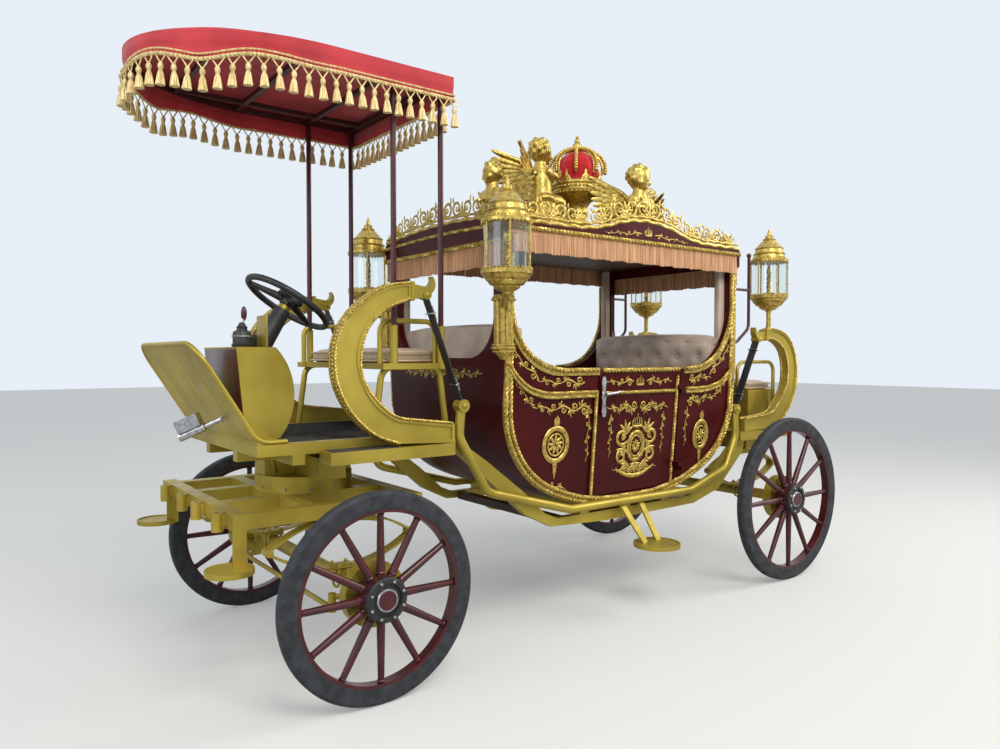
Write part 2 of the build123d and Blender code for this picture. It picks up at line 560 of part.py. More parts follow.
# Rear platform with its armrests, axle and springs
BEAM_UNDER = 735
REAR_RAIL_Y = 414
REAR_RAIL_Z = 1262
rear_frame = block((REAR_X - 330, REAR_X + 190), (-ARCH_Y[1], ARCH_Y[1]), (REAR_UNDER, REAR_DECK_Z))
rear_frame -= block((REAR_X - 270, REAR_X + 130), (-400, 400), (REAR_UNDER, REAR_DECK_Z - 12))
rear_frame += block((REAR_X - 50, REAR_X + 50), (-460, 460), (BEAM_UNDER, REAR_UNDER + 1))
for y in (-REAR_RAIL_Y, REAR_RAIL_Y):
    rear_frame += bent_tube([(REAR_X + 80, y, REAR_DECK_Z - 2), (REAR_X + 80, y, REAR_RAIL_Z),
                             (REAR_X - 292, y, REAR_RAIL_Z), (REAR_X - 292, y, REAR_DECK_Z - 2)], 60, ARM_R)
node("rear_platform", rear_frame)
rear_spring = elliptic_spring(REAR_X, SPRING_Y, REAR_Z + AXLE_R + 10, BEAM_UNDER - 10)
rear_seat = block((REAR_X - 45, REAR_X + 45), (SPRING_Y - 30, SPRING_Y + 30), (BEAM_UNDER - 11, BEAM_UNDER))
rear_foot = block((REAR_X - 45, REAR_X + 45), (SPRING_Y - 30, SPRING_Y + 30), (REAR_Z + AXLE_R - 4,
                                                                       REAR_Z + AXLE_R + 11))
rear_foot -= rod((REAR_X, 0, REAR_Z), (REAR_X, PIN_Y, REAR_Z), AXLE_R + SEAT_GAP)
node("rear_springs", *both(rear_spring + rear_seat + rear_foot))
rear_axle = rod((REAR_X, -DRUM_Y - 5, REAR_Z), (REAR_X, DRUM_Y + 5, REAR_Z), AXLE_R)
rear_axle += drum_and_spindle(REAR_X, REAR_Z)
rear_axle += mirror(drum_and_spindle(REAR_X, REAR_Z), Plane.XZ)
node("rear_axle", rear_axle)

# Footman's seat over the rear axle
FOOTMAN = (-322, -61)
FOOTMAN_Y = 392
box = block((REAR_X + FOOTMAN[0], REAR_X + FOOTMAN[1]), (-FOOTMAN_Y, FOOTMAN_Y), (REAR_DECK_Z, 1088))
node("footman_box", box)
pad = block((REAR_X + FOOTMAN[0], REAR_X + FOOTMAN[1]), (-FOOTMAN_Y, FOOTMAN_Y), (1088 + SEAT_GAP, 1140))
node("footman_cushion", fillet(pad.edges().group_by(Axis.Z)[-1], 18))

# Perch rails: flat bars from the driver's platform down under the sills and up to the rear platform
PERCH_Y = 458
PERCH_W = 40
SILL_UNDER = 515
perch_top = [(1040, DECK_UNDER), (905, 828), (700, 672), (560, 548), (480, SILL_UNDER - SEAT_GAP),
             (-500, SILL_UNDER - SEAT_GAP), (-700, 606), (-880, REAR_UNDER - 40), (-900, REAR_UNDER - 1)]
perch_low = [(-1010, REAR_UNDER - 1), (-990, REAR_UNDER - 70), (-760, 530), (-540, 470), (146, 462),
             (520, 478), (680, 556), (930, 768), (1060, 880), (1090, DECK_UNDER)]
perch_face = outline(*[(BODY_X + x, z) for x, z in perch_top + perch_low])
perch = side_plate(perch_face, PERCH_Y - PERCH_W / 2, PERCH_Y + PERCH_W / 2)
node("perch_rails", *both(perch))
crossers = []
for x in (-420, 0, 420):
    crossers.append(block((BODY_X + x - 25, BODY_X + x + 25), (-PERCH_Y + PERCH_W / 2, PERCH_Y - PERCH_W / 2),
                          (468, 508)))
node("cross_members", *crossers)

# Cradle tubes at both sides of the body, each with a flat sill under the door
CRADLE_Y = BODY_HALF_WIDTH - 17
CRADLE_R = 21
CRADLE_FRONT = FRONT_X - 509
CRADLE_BACK = REAR_X + 231
SILL_Z = (535, 575)
cradle_points = [(CRADLE_FRONT, 1085), (CRADLE_FRONT + 14, 950), (BODY_X + 920, 690), (BODY_X + 420, 555),
                 (BODY_X - 480, 555), (BODY_X - 790, 650), (CRADLE_BACK - 12, 830), (CRADLE_BACK, 990)]
cradle = bent_tube([(x, CRADLE_Y, z) for x, z in cradle_points], 90, CRADLE_R)
cradle += block((BODY_X - 414, BODY_X + 334), (BODY_HALF_WIDTH - BODY_TUMBLE + 8, CRADLE_Y), SILL_Z)
CRADLE_EYE_R = 28
for x, z in (cradle_points[0], cradle_points[-1]):
    cradle += Pos(x, CRADLE_Y, z) * Rot(90, 0, 0) * Cylinder(CRADLE_EYE_R, 50)

# Leather straps from the arch tips to the cradle eyes
straps = []
STRAP = (46, 6)
STRAPS = (
    # arch, its eye, and the cradle's eye
    (arch, FRONT_TIP, (CRADLE_FRONT, 1085)),
    (rear_arch, REAR_TIP, (CRADLE_BACK, 990)),
)
for carrier, top, eye in STRAPS:
    upper = Vector(top[0], CRADLE_Y - 8, top[1])
    lower = Vector(eye[0], CRADLE_Y - 2, eye[1])
    place = Plane(origin=tuple(upper), z_dir=lower - upper, x_dir=(0, 1, 0))
    strap = place * Box(STRAP[0], STRAP[1], (lower - upper).length, align=(Align.CENTER, Align.CENTER, Align.MIN))
    strap = strap - across_arch(*top, EYE_R + SEAT_GAP, 10) - carrier
    strap = strap - Pos(eye[0], CRADLE_Y, eye[1]) * Rot(90, 0, 0) * Cylinder(CRADLE_EYE_R + SEAT_GAP, 120) - cradle
    straps.append(strap.solids().sort_by(SortBy.VOLUME)[-1])
node("straps", *both(straps[0]), *both(straps[1]))

# Coach body: a turned-under shell, cut into its panels
BOTTOM_R = 1074
FRONT_R = 480
REAR_R = 400
FLAT_FRONT = 97
FLAT_REAR = -100


def turn_under(end, flat, big, small, bottom):
    """Where the bottom arc meets the end's arc, the end arc's middle, and where the end turns upright."""
    side = 1 if end > 0 else -1
    across = abs(end) - small - abs(flat)
    up = math.sqrt((big - small) ** 2 - across ** 2)
    upright = bottom + big - up
    angle = math.asin(across / (big - small))
    joint = (flat + side * big * math.sin(angle), bottom + big * (1 - math.cos(angle)))
    half = (angle + math.pi / 2) / 2
    middle = (end - side * small + side * small * math.sin(half), upright - small * math.cos(half))
    low = (flat + side * big * math.sin(angle / 2), bottom + big * (1 - math.cos(angle / 2)))
    return low, joint, middle, (end, upright)


def body_outline(inset):
    """The body's side view, or the same line inside its wall."""
    end = BODY_HALF_LENGTH - inset
    bottom = BODY_BOTTOM + inset
    front = turn_under(end, FLAT_FRONT, BOTTOM_R - inset, FRONT_R - inset, bottom)
    rear = turn_under(-end, FLAT_REAR, BOTTOM_R - inset, REAR_R - inset, bottom)
    points = [[(BODY_X + x, z) for x, z in group] for group in (front, rear)]
    (f_low, f_joint, f_mid, f_top), (r_low, r_joint, r_mid, r_top) = points
    return outline((BODY_X + FLAT_REAR, bottom), (BODY_X + FLAT_FRONT, bottom), (f_low, f_joint),
                   (f_mid, f_top), (f_top[0], ROOF_Z), (r_top[0], ROOF_Z), r_top, (r_mid, r_joint),
                   (r_low, (BODY_X + FLAT_REAR, bottom)))


def body_section(inset):
    """The body's front view as a long prism: upright to the belt, then leaning in."""
    half = BODY_HALF_WIDTH - inset
    low = BODY_HALF_WIDTH - BODY_TUMBLE - inset
    face = outline((-low, BODY_BOTTOM), (low, BODY_BOTTOM), (half, BELT_Z), (half, ROOF_Z),
                   (-half, ROOF_Z), (-half, BELT_Z))
    return end_plate(face, BODY_X - BODY_HALF_LENGTH, BODY_X + BODY_HALF_LENGTH)


shell = side_plate(body_outline(0), -BODY_HALF_WIDTH, BODY_HALF_WIDTH)
inside = side_plate(body_outline(WALL), -BODY_HALF_WIDTH, BODY_HALF_WIDTH)
walls = (shell & body_section(0)) - body_section(WALL)
window = outline((BODY_X - 447, BELT_Z), (BODY_X + 499, BELT_Z), ((BODY_X + 716, 1320), (BODY_X + 806, 1537)),
                 (BODY_X + 806, ROOF_Z), (BODY_X - 796, ROOF_Z), (BODY_X - 796, 1579),
                 ((BODY_X - 694, 1332), (BODY_X - 447, BELT_Z)))
side_wall = (walls - side_plate(window, -600, 600)) & block((BODY_X - 900, BODY_X + 900), (0, 600), (500, ROOF_Z))
doorway = block((BODY_X + DOOR_REAR, BODY_X + DOOR_FRONT), (0, 600), (DOOR_BOTTOM, BELT_Z))
leaf = block((BODY_X + DOOR_REAR + MOVE_GAP, BODY_X + DOOR_FRONT - DOOR_FREE_GAP), (0, 600),
             (DOOR_BOTTOM + MOVE_GAP, BELT_Z))
side_panel = side_wall - doorway
door = side_wall & leaf

# hinges: a barrel line upright beside the belt, so the lower hinge stands out further
HINGE_X = BODY_X + DOOR_REAR
HINGE_Y = BODY_HALF_WIDTH + 7
HINGE_R = 6
HINGE_LEAF = 34
for z in (700, 1120):
    surface = BODY_HALF_WIDTH - BODY_TUMBLE * (BELT_Z - z) / (BELT_Z - BODY_BOTTOM)
    side_panel += block((HINGE_X - HINGE_LEAF, HINGE_X - 1), (surface - 12, HINGE_Y), (z - 24, z - 1))
    side_panel += Pos(HINGE_X, HINGE_Y, z - 12.5) * Cylinder(HINGE_R, 23)
    door += block((HINGE_X + 8, HINGE_X + HINGE_LEAF), (surface - 12, HINGE_Y), (z + 1, z + 24))
    door += block((HINGE_X, HINGE_X + HINGE_LEAF), (HINGE_Y - 4, HINGE_Y + 4), (z + 1, z + 24))
    door += Pos(HINGE_X, HINGE_Y, z + 12.5) * Cylinder(HINGE_R, 23)
HANDLE_X = BODY_X + DOOR_FRONT - DOOR_FREE_GAP - 22
HANDLE_Z = (1001, 1191)
LEVER_Z = 1109
plate_shape = Pos(HANDLE_X, sum(HANDLE_Z) / 2) * SlotOverall(HANDLE_Z[1] - HANDLE_Z[0], 30, rotation=90)
handle = side_plate(plate_shape, BODY_HALF_WIDTH - 30, BODY_HALF_WIDTH + 5)
handle += rod((HANDLE_X, BODY_HALF_WIDTH, LEVER_Z), (HANDLE_X, BODY_HALF_WIDTH + 22, LEVER_Z), 8)
handle += rod((HANDLE_X + 6, BODY_HALF_WIDTH + 18, LEVER_Z), (HANDLE_X - 92, BODY_HALF_WIDTH + 22, LEVER_Z + 6), 8, 5)
handle += Pos(HANDLE_X - 92, BODY_HALF_WIDTH + 22, LEVER_Z + 6) * Sphere(7)
door += handle - side_plate(body_outline(0), 0, BODY_HALF_WIDTH - WALL)
node("side_panel_left", side_panel)
node("side_panel_right", mirror(side_panel, Plane.XZ))
node("door_left", door)
node("door_right", mirror(door, Plane.XZ))

band = (shell - inside) & body_section(WALL)
END_X = 560
front_wall = band & block((BODY_X + END_X, BODY_X + 900), (-600, 600), (500, ROOF_Z))
rear_wall = band & block((BODY_X - 900, BODY_X - END_X), (-600, 600), (500, ROOF_Z))
floor = band & block((BODY_X - END_X, BODY_X + END_X), (-600, 600), (500, ROOF_Z))
END_OPEN = 440
END_SILL = 1290
opening = outline((-END_OPEN + 200, END_SILL), (END_OPEN - 200, END_SILL),
                  ((END_OPEN - 59, END_SILL + 59), (END_OPEN, END_SILL + 200)), (END_OPEN, ROOF_Z),
                  (-END_OPEN, ROOF_Z), (-END_OPEN, END_SILL + 200),
                  ((-END_OPEN + 59, END_SILL + 59), (-END_OPEN + 200, END_SILL)))
through = end_plate(opening, BODY_X - 900, BODY_X + 900)
node("front_wall", front_wall - through)
node("rear_wall", rear_wall - through)
node("body_floor", floor)

# Bearers between the sills, shaped to the body's underside
cradle_frame = cradle + mirror(cradle, Plane.XZ)
under_body = side_plate(body_outline(-SEAT_GAP), -600, 600)
for x in (-300, 0, 300):
    bearer = block((BODY_X + x - 30, BODY_X + x + 30), (-CRADLE_Y + 30, CRADLE_Y - 30), (SILL_UNDER, SILL_Z[1]))
    cradle_frame += bearer - under_body
node("cradles", cradle_frame)

# Gilt mouldings on the sides: the edge of the body, the waist line, the window's edge and the door's post
MOULD_PROUD = 11
EDGE_MOULD = 34
WINDOW_MOULD = 24
WAIST_Z = 1100
WAIST_W = 26
DOOR_CLEAR = 18
skin = (body_section(-MOULD_PROUD) - body_section(0)) & block(
    (BODY_X - BODY_HALF_LENGTH, BODY_X + BODY_HALF_LENGTH), (0, 600), (BODY_BOTTOM, ROOF_Z))
edge_band = side_plate(body_outline(0), 0, 600) - side_plate(body_outline(EDGE_MOULD), -1, 601)
window_band = side_plate(offset(window, amount=WINDOW_MOULD), 0, 600) - side_plate(window, -1, 601)
waist_front = outline((BODY_X + DOOR_FRONT, WAIST_Z), (BODY_X + 560, WAIST_Z),
                      ((BODY_X + 735, 1152), (BODY_X + 836, 1268)), (BODY_X + 836, 1306),
                      ((BODY_X + 715, 1170), (BODY_X + 560, WAIST_Z + WAIST_W)), (BODY_X + DOOR_FRONT, WAIST_Z + WAIST_W))
waist_end = HINGE_X - HINGE_LEAF - 2
waist_rear = outline((waist_end, WAIST_Z), (BODY_X - 552, WAIST_Z),
                     ((BODY_X - 728, 1142), (BODY_X - 836, 1248)), (BODY_X - 836, 1286),
                     ((BODY_X - 710, 1162), (BODY_X - 552, WAIST_Z + WAIST_W)), (waist_end, WAIST_Z + WAIST_W))
post_band = block((BODY_X + DOOR_FRONT, BODY_X + DOOR_FRONT + 15), (0, 600), (DOOR_BOTTOM - 8, WAIST_Z + WAIST_W))
bands = edge_band + window_band + side_plate(waist_front, 0, 600) + side_plate(waist_rear, 0, 600) + post_band
door_room = block((BODY_X + DOOR_REAR - DOOR_CLEAR, BODY_X + DOOR_FRONT), (0, 600), (DOOR_BOTTOM - 1, ROOF_Z))
cradle_room = bent_tube([(x, CRADLE_Y, z) for x, z in cradle_points], 90, CRADLE_R + SEAT_GAP)
cradle_room += block((BODY_X - 415, BODY_X + 335), (BODY_HALF_WIDTH - BODY_TUMBLE + 8 - SEAT_GAP, CRADLE_Y),
                     (SILL_Z[0] - SEAT_GAP, SILL_Z[1] + SEAT_GAP))
mouldings = (skin & bands) - door_room - cradle_room

# a reeded column up each front corner, from the waist to the lantern's bracket
COLUMN_R = 31
REED_R = 13
COLUMN_Z = (1330, 1562)
COLUMN = (BODY_X + BODY_HALF_LENGTH + 12, BODY_HALF_WIDTH + 10)
column = Pos(*COLUMN, sum(COLUMN_Z) / 2) * Cylinder(COLUMN_R, COLUMN_Z[1] - COLUMN_Z[0])
for turn in range(0, 360, 45):
    angle = math.radians(turn)
    column += Pos(COLUMN[0] + COLUMN_R * math.cos(angle), COLUMN[1] + COLUMN_R * math.sin(angle),
                  sum(COLUMN_Z) / 2) * Cylinder(REED_R, COLUMN_Z[1] - COLUMN_Z[0])
column += turned([(0, COLUMN_Z[0] - 50), (14, COLUMN_Z[0] - 46), (42, COLUMN_Z[0] - 12), (50, COLUMN_Z[0] + 4),
                  (50, COLUMN_Z[0] + 14), (0, COLUMN_Z[0] + 14)], *COLUMN, 0)
column += turned([(0, COLUMN_Z[1] - 14), (48, COLUMN_Z[1] - 14), (52, COLUMN_Z[1]), (40, COLUMN_Z[1] + 12),
                  (0, COLUMN_Z[1] + 12)], *COLUMN, 0)
column -= shell & body_section(0)
column = column.solids().sort_by(SortBy.VOLUME)[-1]
side_gilt = mouldings + column
node("body_mouldings", *both(side_gilt))

# Guard rails behind the rear corners
GUARD_BACK = 170
GUARD_Y = 500
GUARD_R = 9
GUARD_Z = (1364, 1895)
GUARD_TIE_Z = 1690
body_rear = BODY_X - BODY_HALF_LENGTH
guard = bent_tube([(body_rear + 10, GUARD_Y, GUARD_Z[0]), (body_rear - 60, GUARD_Y, GUARD_Z[0] + 20),
                   (body_rear - GUARD_BACK, GUARD_Y, GUARD_Z[0] + 100), (body_rear - GUARD_BACK, GUARD_Y, GUARD_Z[1])],
                  [60, 60], GUARD_R)
guard += Pos(body_rear - GUARD_BACK, GUARD_Y, GUARD_Z[1]) * Sphere(GUARD_R + 5)
guard += rod((body_rear - GUARD_BACK, GUARD_Y, GUARD_TIE_Z), (body_rear + 10, GUARD_Y, GUARD_TIE_Z), GUARD_R - 1)
guard -= block((body_rear, body_rear + 100), (400, 600), (1200, ROOF_Z + 100))
node("guard_rails", *both(guard))

# Roof: a low dome inside fascia boards, whose side boards rise to an ogee pediment
ROOF_OVER = 20
ROOF_EDGE = 30
ROOF_DROP = 64
DOME_EDGE = 14
FASCIA_W = 20
PEDIMENT_HALF = 500
PEDIMENT_RISE = 76
END_RISE = 36
CROWN_X = BODY_X - 84
roof_end = BODY_HALF_LENGTH + ROOF_OVER
roof_side = BODY_HALF_WIDTH + ROOF_OVER
fascia_top = ROOF_Z + ROOF_EDGE


def ogee(low):
    """The pediment's top line from front to rear: a hollow, a crown and a hollow, as arcs in turn."""
    span = PEDIMENT_HALF / 2
    radius = (span ** 2 + (PEDIMENT_RISE / 2) ** 2) / PEDIMENT_RISE
    half_turn = math.asin(span / radius) / 2
    dip = radius * (1 - math.cos(half_turn))
    slide = radius * math.sin(half_turn)
    top = low + PEDIMENT_RISE
    waist = low + PEDIMENT_RISE / 2
    right = [((CROWN_X + PEDIMENT_HALF - slide, low + dip), (CROWN_X + span, waist)),
             ((CROWN_X + slide, top - dip), (CROWN_X, top))]
    left = [((CROWN_X - slide, top - dip), (CROWN_X - span, waist)),
            ((CROWN_X - PEDIMENT_HALF + slide, low + dip), (CROWN_X - PEDIMENT_HALF, low))]
    return [(CROWN_X + PEDIMENT_HALF, low), *right, *left]


def board_outline(top, end):
    """A side board of the roof up to its top line, as a face."""
    return outline((BODY_X - end, ROOF_Z), (BODY_X + end, ROOF_Z), (BODY_X + end, top), *ogee(top),
                   (BODY_X - end, top))


roof = side_plate(board_outline(fascia_top, roof_end), roof_side - FASCIA_W, roof_side)
roof += mirror(roof, Plane.XZ)
end_board = outline((-roof_side, ROOF_Z - ROOF_DROP), (roof_side, ROOF_Z - ROOF_DROP), (roof_side, fascia_top),
                    ((0, fascia_top + END_RISE), (-roof_side, fascia_top)))
for low, high in ((-roof_end, -roof_end + FASCIA_W), (roof_end - FASCIA_W, roof_end)):
    roof += end_plate(end_board, BODY_X + low, BODY_X + high)
dome = outline((-roof_side, ROOF_Z), (roof_side, ROOF_Z), (roof_side, ROOF_Z + DOME_EDGE),
               ((0, ROOF_Z + ROOF_RISE), (-roof_side, ROOF_Z + DOME_EDGE)))
roof += end_plate(dome, BODY_X - roof_end, BODY_X + roof_end)
roof -= block((BODY_X - BODY_HALF_LENGTH, BODY_X + BODY_HALF_LENGTH), (-roof_side, roof_side),
              (ROOF_Z - ROOF_DROP - 1, ROOF_Z))
node("roof", roof)

# Cresting: a ribbon along the fascia's top, and scrolls that stand on it
RIBBON = 34
CREST_IN = 2
SCROLL_SINK = 8
SIDE_SCROLLS = (
    # distance forward of the body's middle, radius
    (-800, 26), (-735, 36), (-655, 44), (-570, 46), (-485, 42), (-405, 38), (-325, 44), (-240, 50), (-150, 50),
    (-60, 52), (30, 50), (118, 50), (205, 46), (288, 38), (362, 36), (436, 40), (515, 46), (600, 48), (682, 42),
    (758, 36), (815, 24),
)
END_SCROLLS = ((-470, 30), (-400, 38), (-322, 42), (-240, 44), (-155, 46), (-70, 48), (0, 40), (70, 48), (155, 46),
               (240, 44), (322, 42), (400, 38), (470, 30))


def pediment_z(x):
    """The fascia's top above the ground at a distance forward of the body's middle."""
    span = PEDIMENT_HALF / 2
    radius = (span ** 2 + (PEDIMENT_RISE / 2) ** 2) / PEDIMENT_RISE
    away = abs(BODY_X + x - CROWN_X)
    if away >= PEDIMENT_HALF:
        return fascia_top
    if away >= span:
        return fascia_top + radius - math.sqrt(radius ** 2 - (PEDIMENT_HALF - away) ** 2)
    return fascia_top + PEDIMENT_RISE - radius + math.sqrt(radius ** 2 - away ** 2)


def end_board_z(y):
    """The end board's top above the ground at a distance from the carriage's middle."""
    radius = (roof_side ** 2 + END_RISE ** 2) / (2 * END_RISE)
    return fascia_top + END_RISE - radius + math.sqrt(radius ** 2 - y ** 2)


def scroll(radius, side):
    """A C-shaped leaf of the cresting, with a bud in its curl and a foot under it."""
    ring = Circle(radius) - Circle(radius * 0.66)
    gap = Pos(side * radius * 0.8, radius * 0.1) * Rectangle(radius, radius * 0.5)
    bud = Pos(side * radius * 0.42, radius * 0.5) * Circle(radius * 0.27)
    foot = Pos(0, -radius * 0.85) * Rectangle(radius * 1.2, radius * 0.45)
    return ring - gap + bud + foot


crest_end = roof_end - CREST_IN
crest_face = board_outline(fascia_top + RIBBON, crest_end) - board_outline(fascia_top, roof_end + 1)
for number, (x, radius) in enumerate(SIDE_SCROLLS):
    z = pediment_z(x) + RIBBON + radius - SCROLL_SINK
    crest_face += Pos(BODY_X + x, z) * scroll(radius, (-1) ** number)
crests = both(side_plate(crest_face, roof_side - FASCIA_W, roof_side - CREST_IN) - roof)
ribbon_end = roof_side - FASCIA_W
ribbon_z = end_board_z(ribbon_end)
end_face = outline((-ribbon_end, ribbon_z), ((0, fascia_top + END_RISE), (ribbon_end, ribbon_z)),
                   (ribbon_end, ribbon_z + RIBBON), ((0, fascia_top + END_RISE + RIBBON), (-ribbon_end, ribbon_z + RIBBON)))
for number, (y, radius) in enumerate(END_SCROLLS):
    end_face += Pos(y, end_board_z(y) + RIBBON + radius - SCROLL_SINK) * scroll(radius, (-1) ** number)
for low in (-crest_end, crest_end - FASCIA_W + CREST_IN):
    crests.append(end_plate(end_face, BODY_X + low, BODY_X + low + FASCIA_W - CREST_IN))
node("roof_cresting", *crests)


def dome_z(y):
    """The dome's top above the ground at a distance from the carriage's middle."""
    rise = ROOF_RISE - DOME_EDGE
    radius = (roof_side ** 2 + rise ** 2) / (2 * rise)
    return ROOF_Z + ROOF_RISE - radius + math.sqrt(radius ** 2 - y ** 2)


# The crown on its pedestal, with a velvet cap
CROWN_BASE = 2227
CROWN_R = 138
pedestal = turned([(0, dome_z(0) - 5), (170, dome_z(0) - 5), (150, 1990), (96, 2040), (58, 2110), (66, 2160),
                   (118, 2200), (CROWN_R + 6, 2218), (CROWN_R + 6, CROWN_BASE + 50), (CROWN_R - 2, CROWN_BASE + 62),
                   (0, CROWN_BASE + 62)], CROWN_X, 0, 0)
pedestal -= roof
pedestal -= turned([(0, CROWN_BASE + 10), (CROWN_R - 8, CROWN_BASE + 10), (CROWN_R - 8, CROWN_BASE + 60),
                    (0, CROWN_BASE + 60)], CROWN_X, 0, 0)
arch_face = outline((CROWN_R - 10, CROWN_BASE + 30), ((CROWN_R + 22, CROWN_BASE + 150), (0, CROWN_BASE + 262)),
                    (0, CROWN_BASE + 236), ((CROWN_R - 2, CROWN_BASE + 140), (CROWN_R - 22, CROWN_BASE + 30)))
rib = side_plate(arch_face, -9, 9)
crown = pedestal
for turn in range(8):
    crown += Pos(CROWN_X, 0, 0) * Rot(0, 0, 45 * turn) * rib
crown += Pos(CROWN_X, 0, CROWN_BASE + 275) * Sphere(28)
crown += rod((CROWN_X, 0, CROWN_BASE + 270), (CROWN_X, 0, 2560), 9, 5)
node("roof_crown", crown)
CAP_PROFILE = ((94, 0), (118, 30), (128, 70), (124, 112), (104, 152), (72, 182), (40, 198), (14, 204))
cap_foot = CROWN_BASE + 10 + SEAT_GAP
cap = turned([(0, 0), *CAP_PROFILE, (0, 204)], CROWN_X, 0, cap_foot) - crown
node("crown_cap", cap.solids().sort_by(SortBy.VOLUME)[-1])

# Winged children at the crown and on the cresting, each placed by its head
HEAD_R = 66
TORSO_R = 100
SIDE_FIGURE_Y = roof_side - FASCIA_W - TORSO_R - 2
FIGURES = (
    # x from the body's middle, y, head height, size, turn, whether it reaches forward
    (519, 0, 2258, 0.88, 0, False),
    (-690, 0, 2258, 0.88, 180, False),
    (190, 0, 2418, 1.0, 180, True),
    (-144, SIDE_FIGURE_Y, 2243, 1.0, 90, False),
    (-144, -SIDE_FIGURE_Y, 2243, 1.0, -90, False),
)
TORSO = ((0, -335), (TORSO_R, -335), (94, -290), (76, -255), (60, -215), (72, -150), (66, -104), (34, -78), (26, -50),
         (0, -50))
WING_SWEEP = {False: 12, True: 66}


def limb(*joints):
    """An arm or a leg as tapered rods with round joints, from (x, y, z, radius) points."""
    shape = Pos(*joints[0][:3]) * Sphere(joints[0][3])
    for here, there in zip(joints, joints[1:]):
        shape += rod(here[:3], there[:3], here[3], there[3])
        shape += Pos(*there[:3]) * Sphere(there[3] * 1.02)
    return shape


def figure(size, reaches):
    """A winged child facing +X with its head's centre at the origin, in rounded masses."""
    body = Sphere(HEAD_R) + turned(TORSO, 0, 0, 0)
    wing_face = outline((20, -160), (36, -92), ((170, -22), (322, -58)), ((238, -112), (150, -150)), (70, -176))
    wing = end_plate(wing_face, -70, -48)
    for side in (-1, 1):
        spread = wing if side > 0 else mirror(wing, Plane.XZ)
        body += Rot(0, 0, side * WING_SWEEP[reaches]) * spread
        if reaches:
            body += limb((4, side * 62, -112, 25), (62, side * 66, -150, 20), (114, side * 34, -96, 15))
            body += limb((10, side * 44, -268, 44), (120, side * 52, -262, 33), (40, side * 58, -316, 24))
        else:
            body += limb((4, side * 62, -112, 25), (40, side * 84, -172, 20), (76, side * 20, -168, 16))
            body += limb((10, side * 44, -280, 44), (62, side * 56, -290, 30))
    return scale(body, by=size)


standing = []
for x, y, head_z, size, turn, reaches in FIGURES:
    foot_z = head_z - 325 * size
    base_z = dome_z(y) - 6
    one = Pos(BODY_X + x, y, head_z) * Rot(0, 0, turn) * figure(size, reaches)
    one += turned([(0, base_z), (118 * size, base_z), (92 * size, foot_z), (0, foot_z)], BODY_X + x, y, 0)
    one -= roof
    if reaches:
        one -= crown
    standing.append(one.solids().sort_by(SortBy.VOLUME)[-1])
node("roof_figures", *standing)

# Fringe hung from the roof's edge
FRINGE_DROP = 110
FRINGE_W = 7
FRINGE_IN = 1
fringe_y = (roof_side - FRINGE_IN - FRINGE_W, roof_side - FRINGE_IN)
fringe_end = (roof_end - FRINGE_IN - FRINGE_W, roof_end - FRINGE_IN)
side_fringe = block((BODY_X - BODY_HALF_LENGTH + 1, BODY_X + BODY_HALF_LENGTH - 1), fringe_y,
                    (ROOF_Z - FRINGE_DROP, ROOF_Z - SEAT_GAP))
fringes = both(side_fringe)
for low, high in ((-fringe_end[1], -fringe_end[0]), fringe_end):
    fringes.append(block((BODY_X + low, BODY_X + high), (-fringe_y[1], fringe_y[1]),
                         (ROOF_Z - ROOF_DROP - FRINGE_DROP, ROOF_Z - ROOF_DROP - SEAT_GAP)))
node("roof_fringe", *fringes)

# Lanterns: two on brackets at the front posts, two on the rear arches
LANTERN_R = 104
LAMPS = (
    # x, y, base height
    (BODY_X + 915, 640, 1566),
    (REAR_X - 114, sum(ARCH_Y) / 2, 1566),
)
lamp_solids = []
glass_solids = []
for x, y, z in LAMPS:
    bowl = turned([(0, 0), (15, 0), (20, 10), (40, 16), (58, 28), (56, 34), (74, 40), (84, 54), (82, 60), (96, 66),
                   (104, 80), (112, 86), (113, 104), (0, 104)], x, y, z)
    cap_z = 304
    lid = turned([(0, cap_z), (113, cap_z), (113, cap_z + 14), (94, cap_z + 20), (90, cap_z + 42), (94, cap_z + 50),
                  (84, cap_z + 56), (80, cap_z + 76), (84, cap_z + 84), (74, cap_z + 92), (44, cap_z + 126),
                  (36, cap_z + 132), (38, cap_z + 140), (24, cap_z + 146), (24, cap_z + 160), (12, cap_z + 168),
                  (10, cap_z + 184), (0, cap_z + 210)], x, y, z)
    lamp = bowl + lid
    for turn in range(6):
        angle = math.radians(60 * turn)
        bar_x = x + (LANTERN_R + 3) * math.cos(angle)
        bar_y = y + (LANTERN_R + 3) * math.sin(angle)
        lamp += rod((bar_x, bar_y, z + 100), (bar_x, bar_y, z + cap_z + 4), 4)
    if x > BODY_X:
        lamp += rod((x, y, z + 12), (COLUMN[0] + 30, COLUMN[1] + 34, COLUMN_Z[1] - 40), 15)
        lamp -= column
    else:
        lamp += rod((x, y, z - 120), (x, y, z + 5), 14)
        lamp += turned([(0, -118), (24, -118), (27, -104), (20, -92), (15, -88), (0, -88)], x, y, z)
        lamp -= rear_arch
    glass = Pos(x, y, z + 204) * (Cylinder(LANTERN_R - 2, 200 - 2 * SEAT_GAP)
                                  - Cylinder(LANTERN_R - 6, 200 - 2 * SEAT_GAP))
    lamp_solids.extend(both(lamp))
    glass_solids.extend(both(glass))
node("lanterns", *lamp_solids)
node("lantern_glass", *glass_solids)

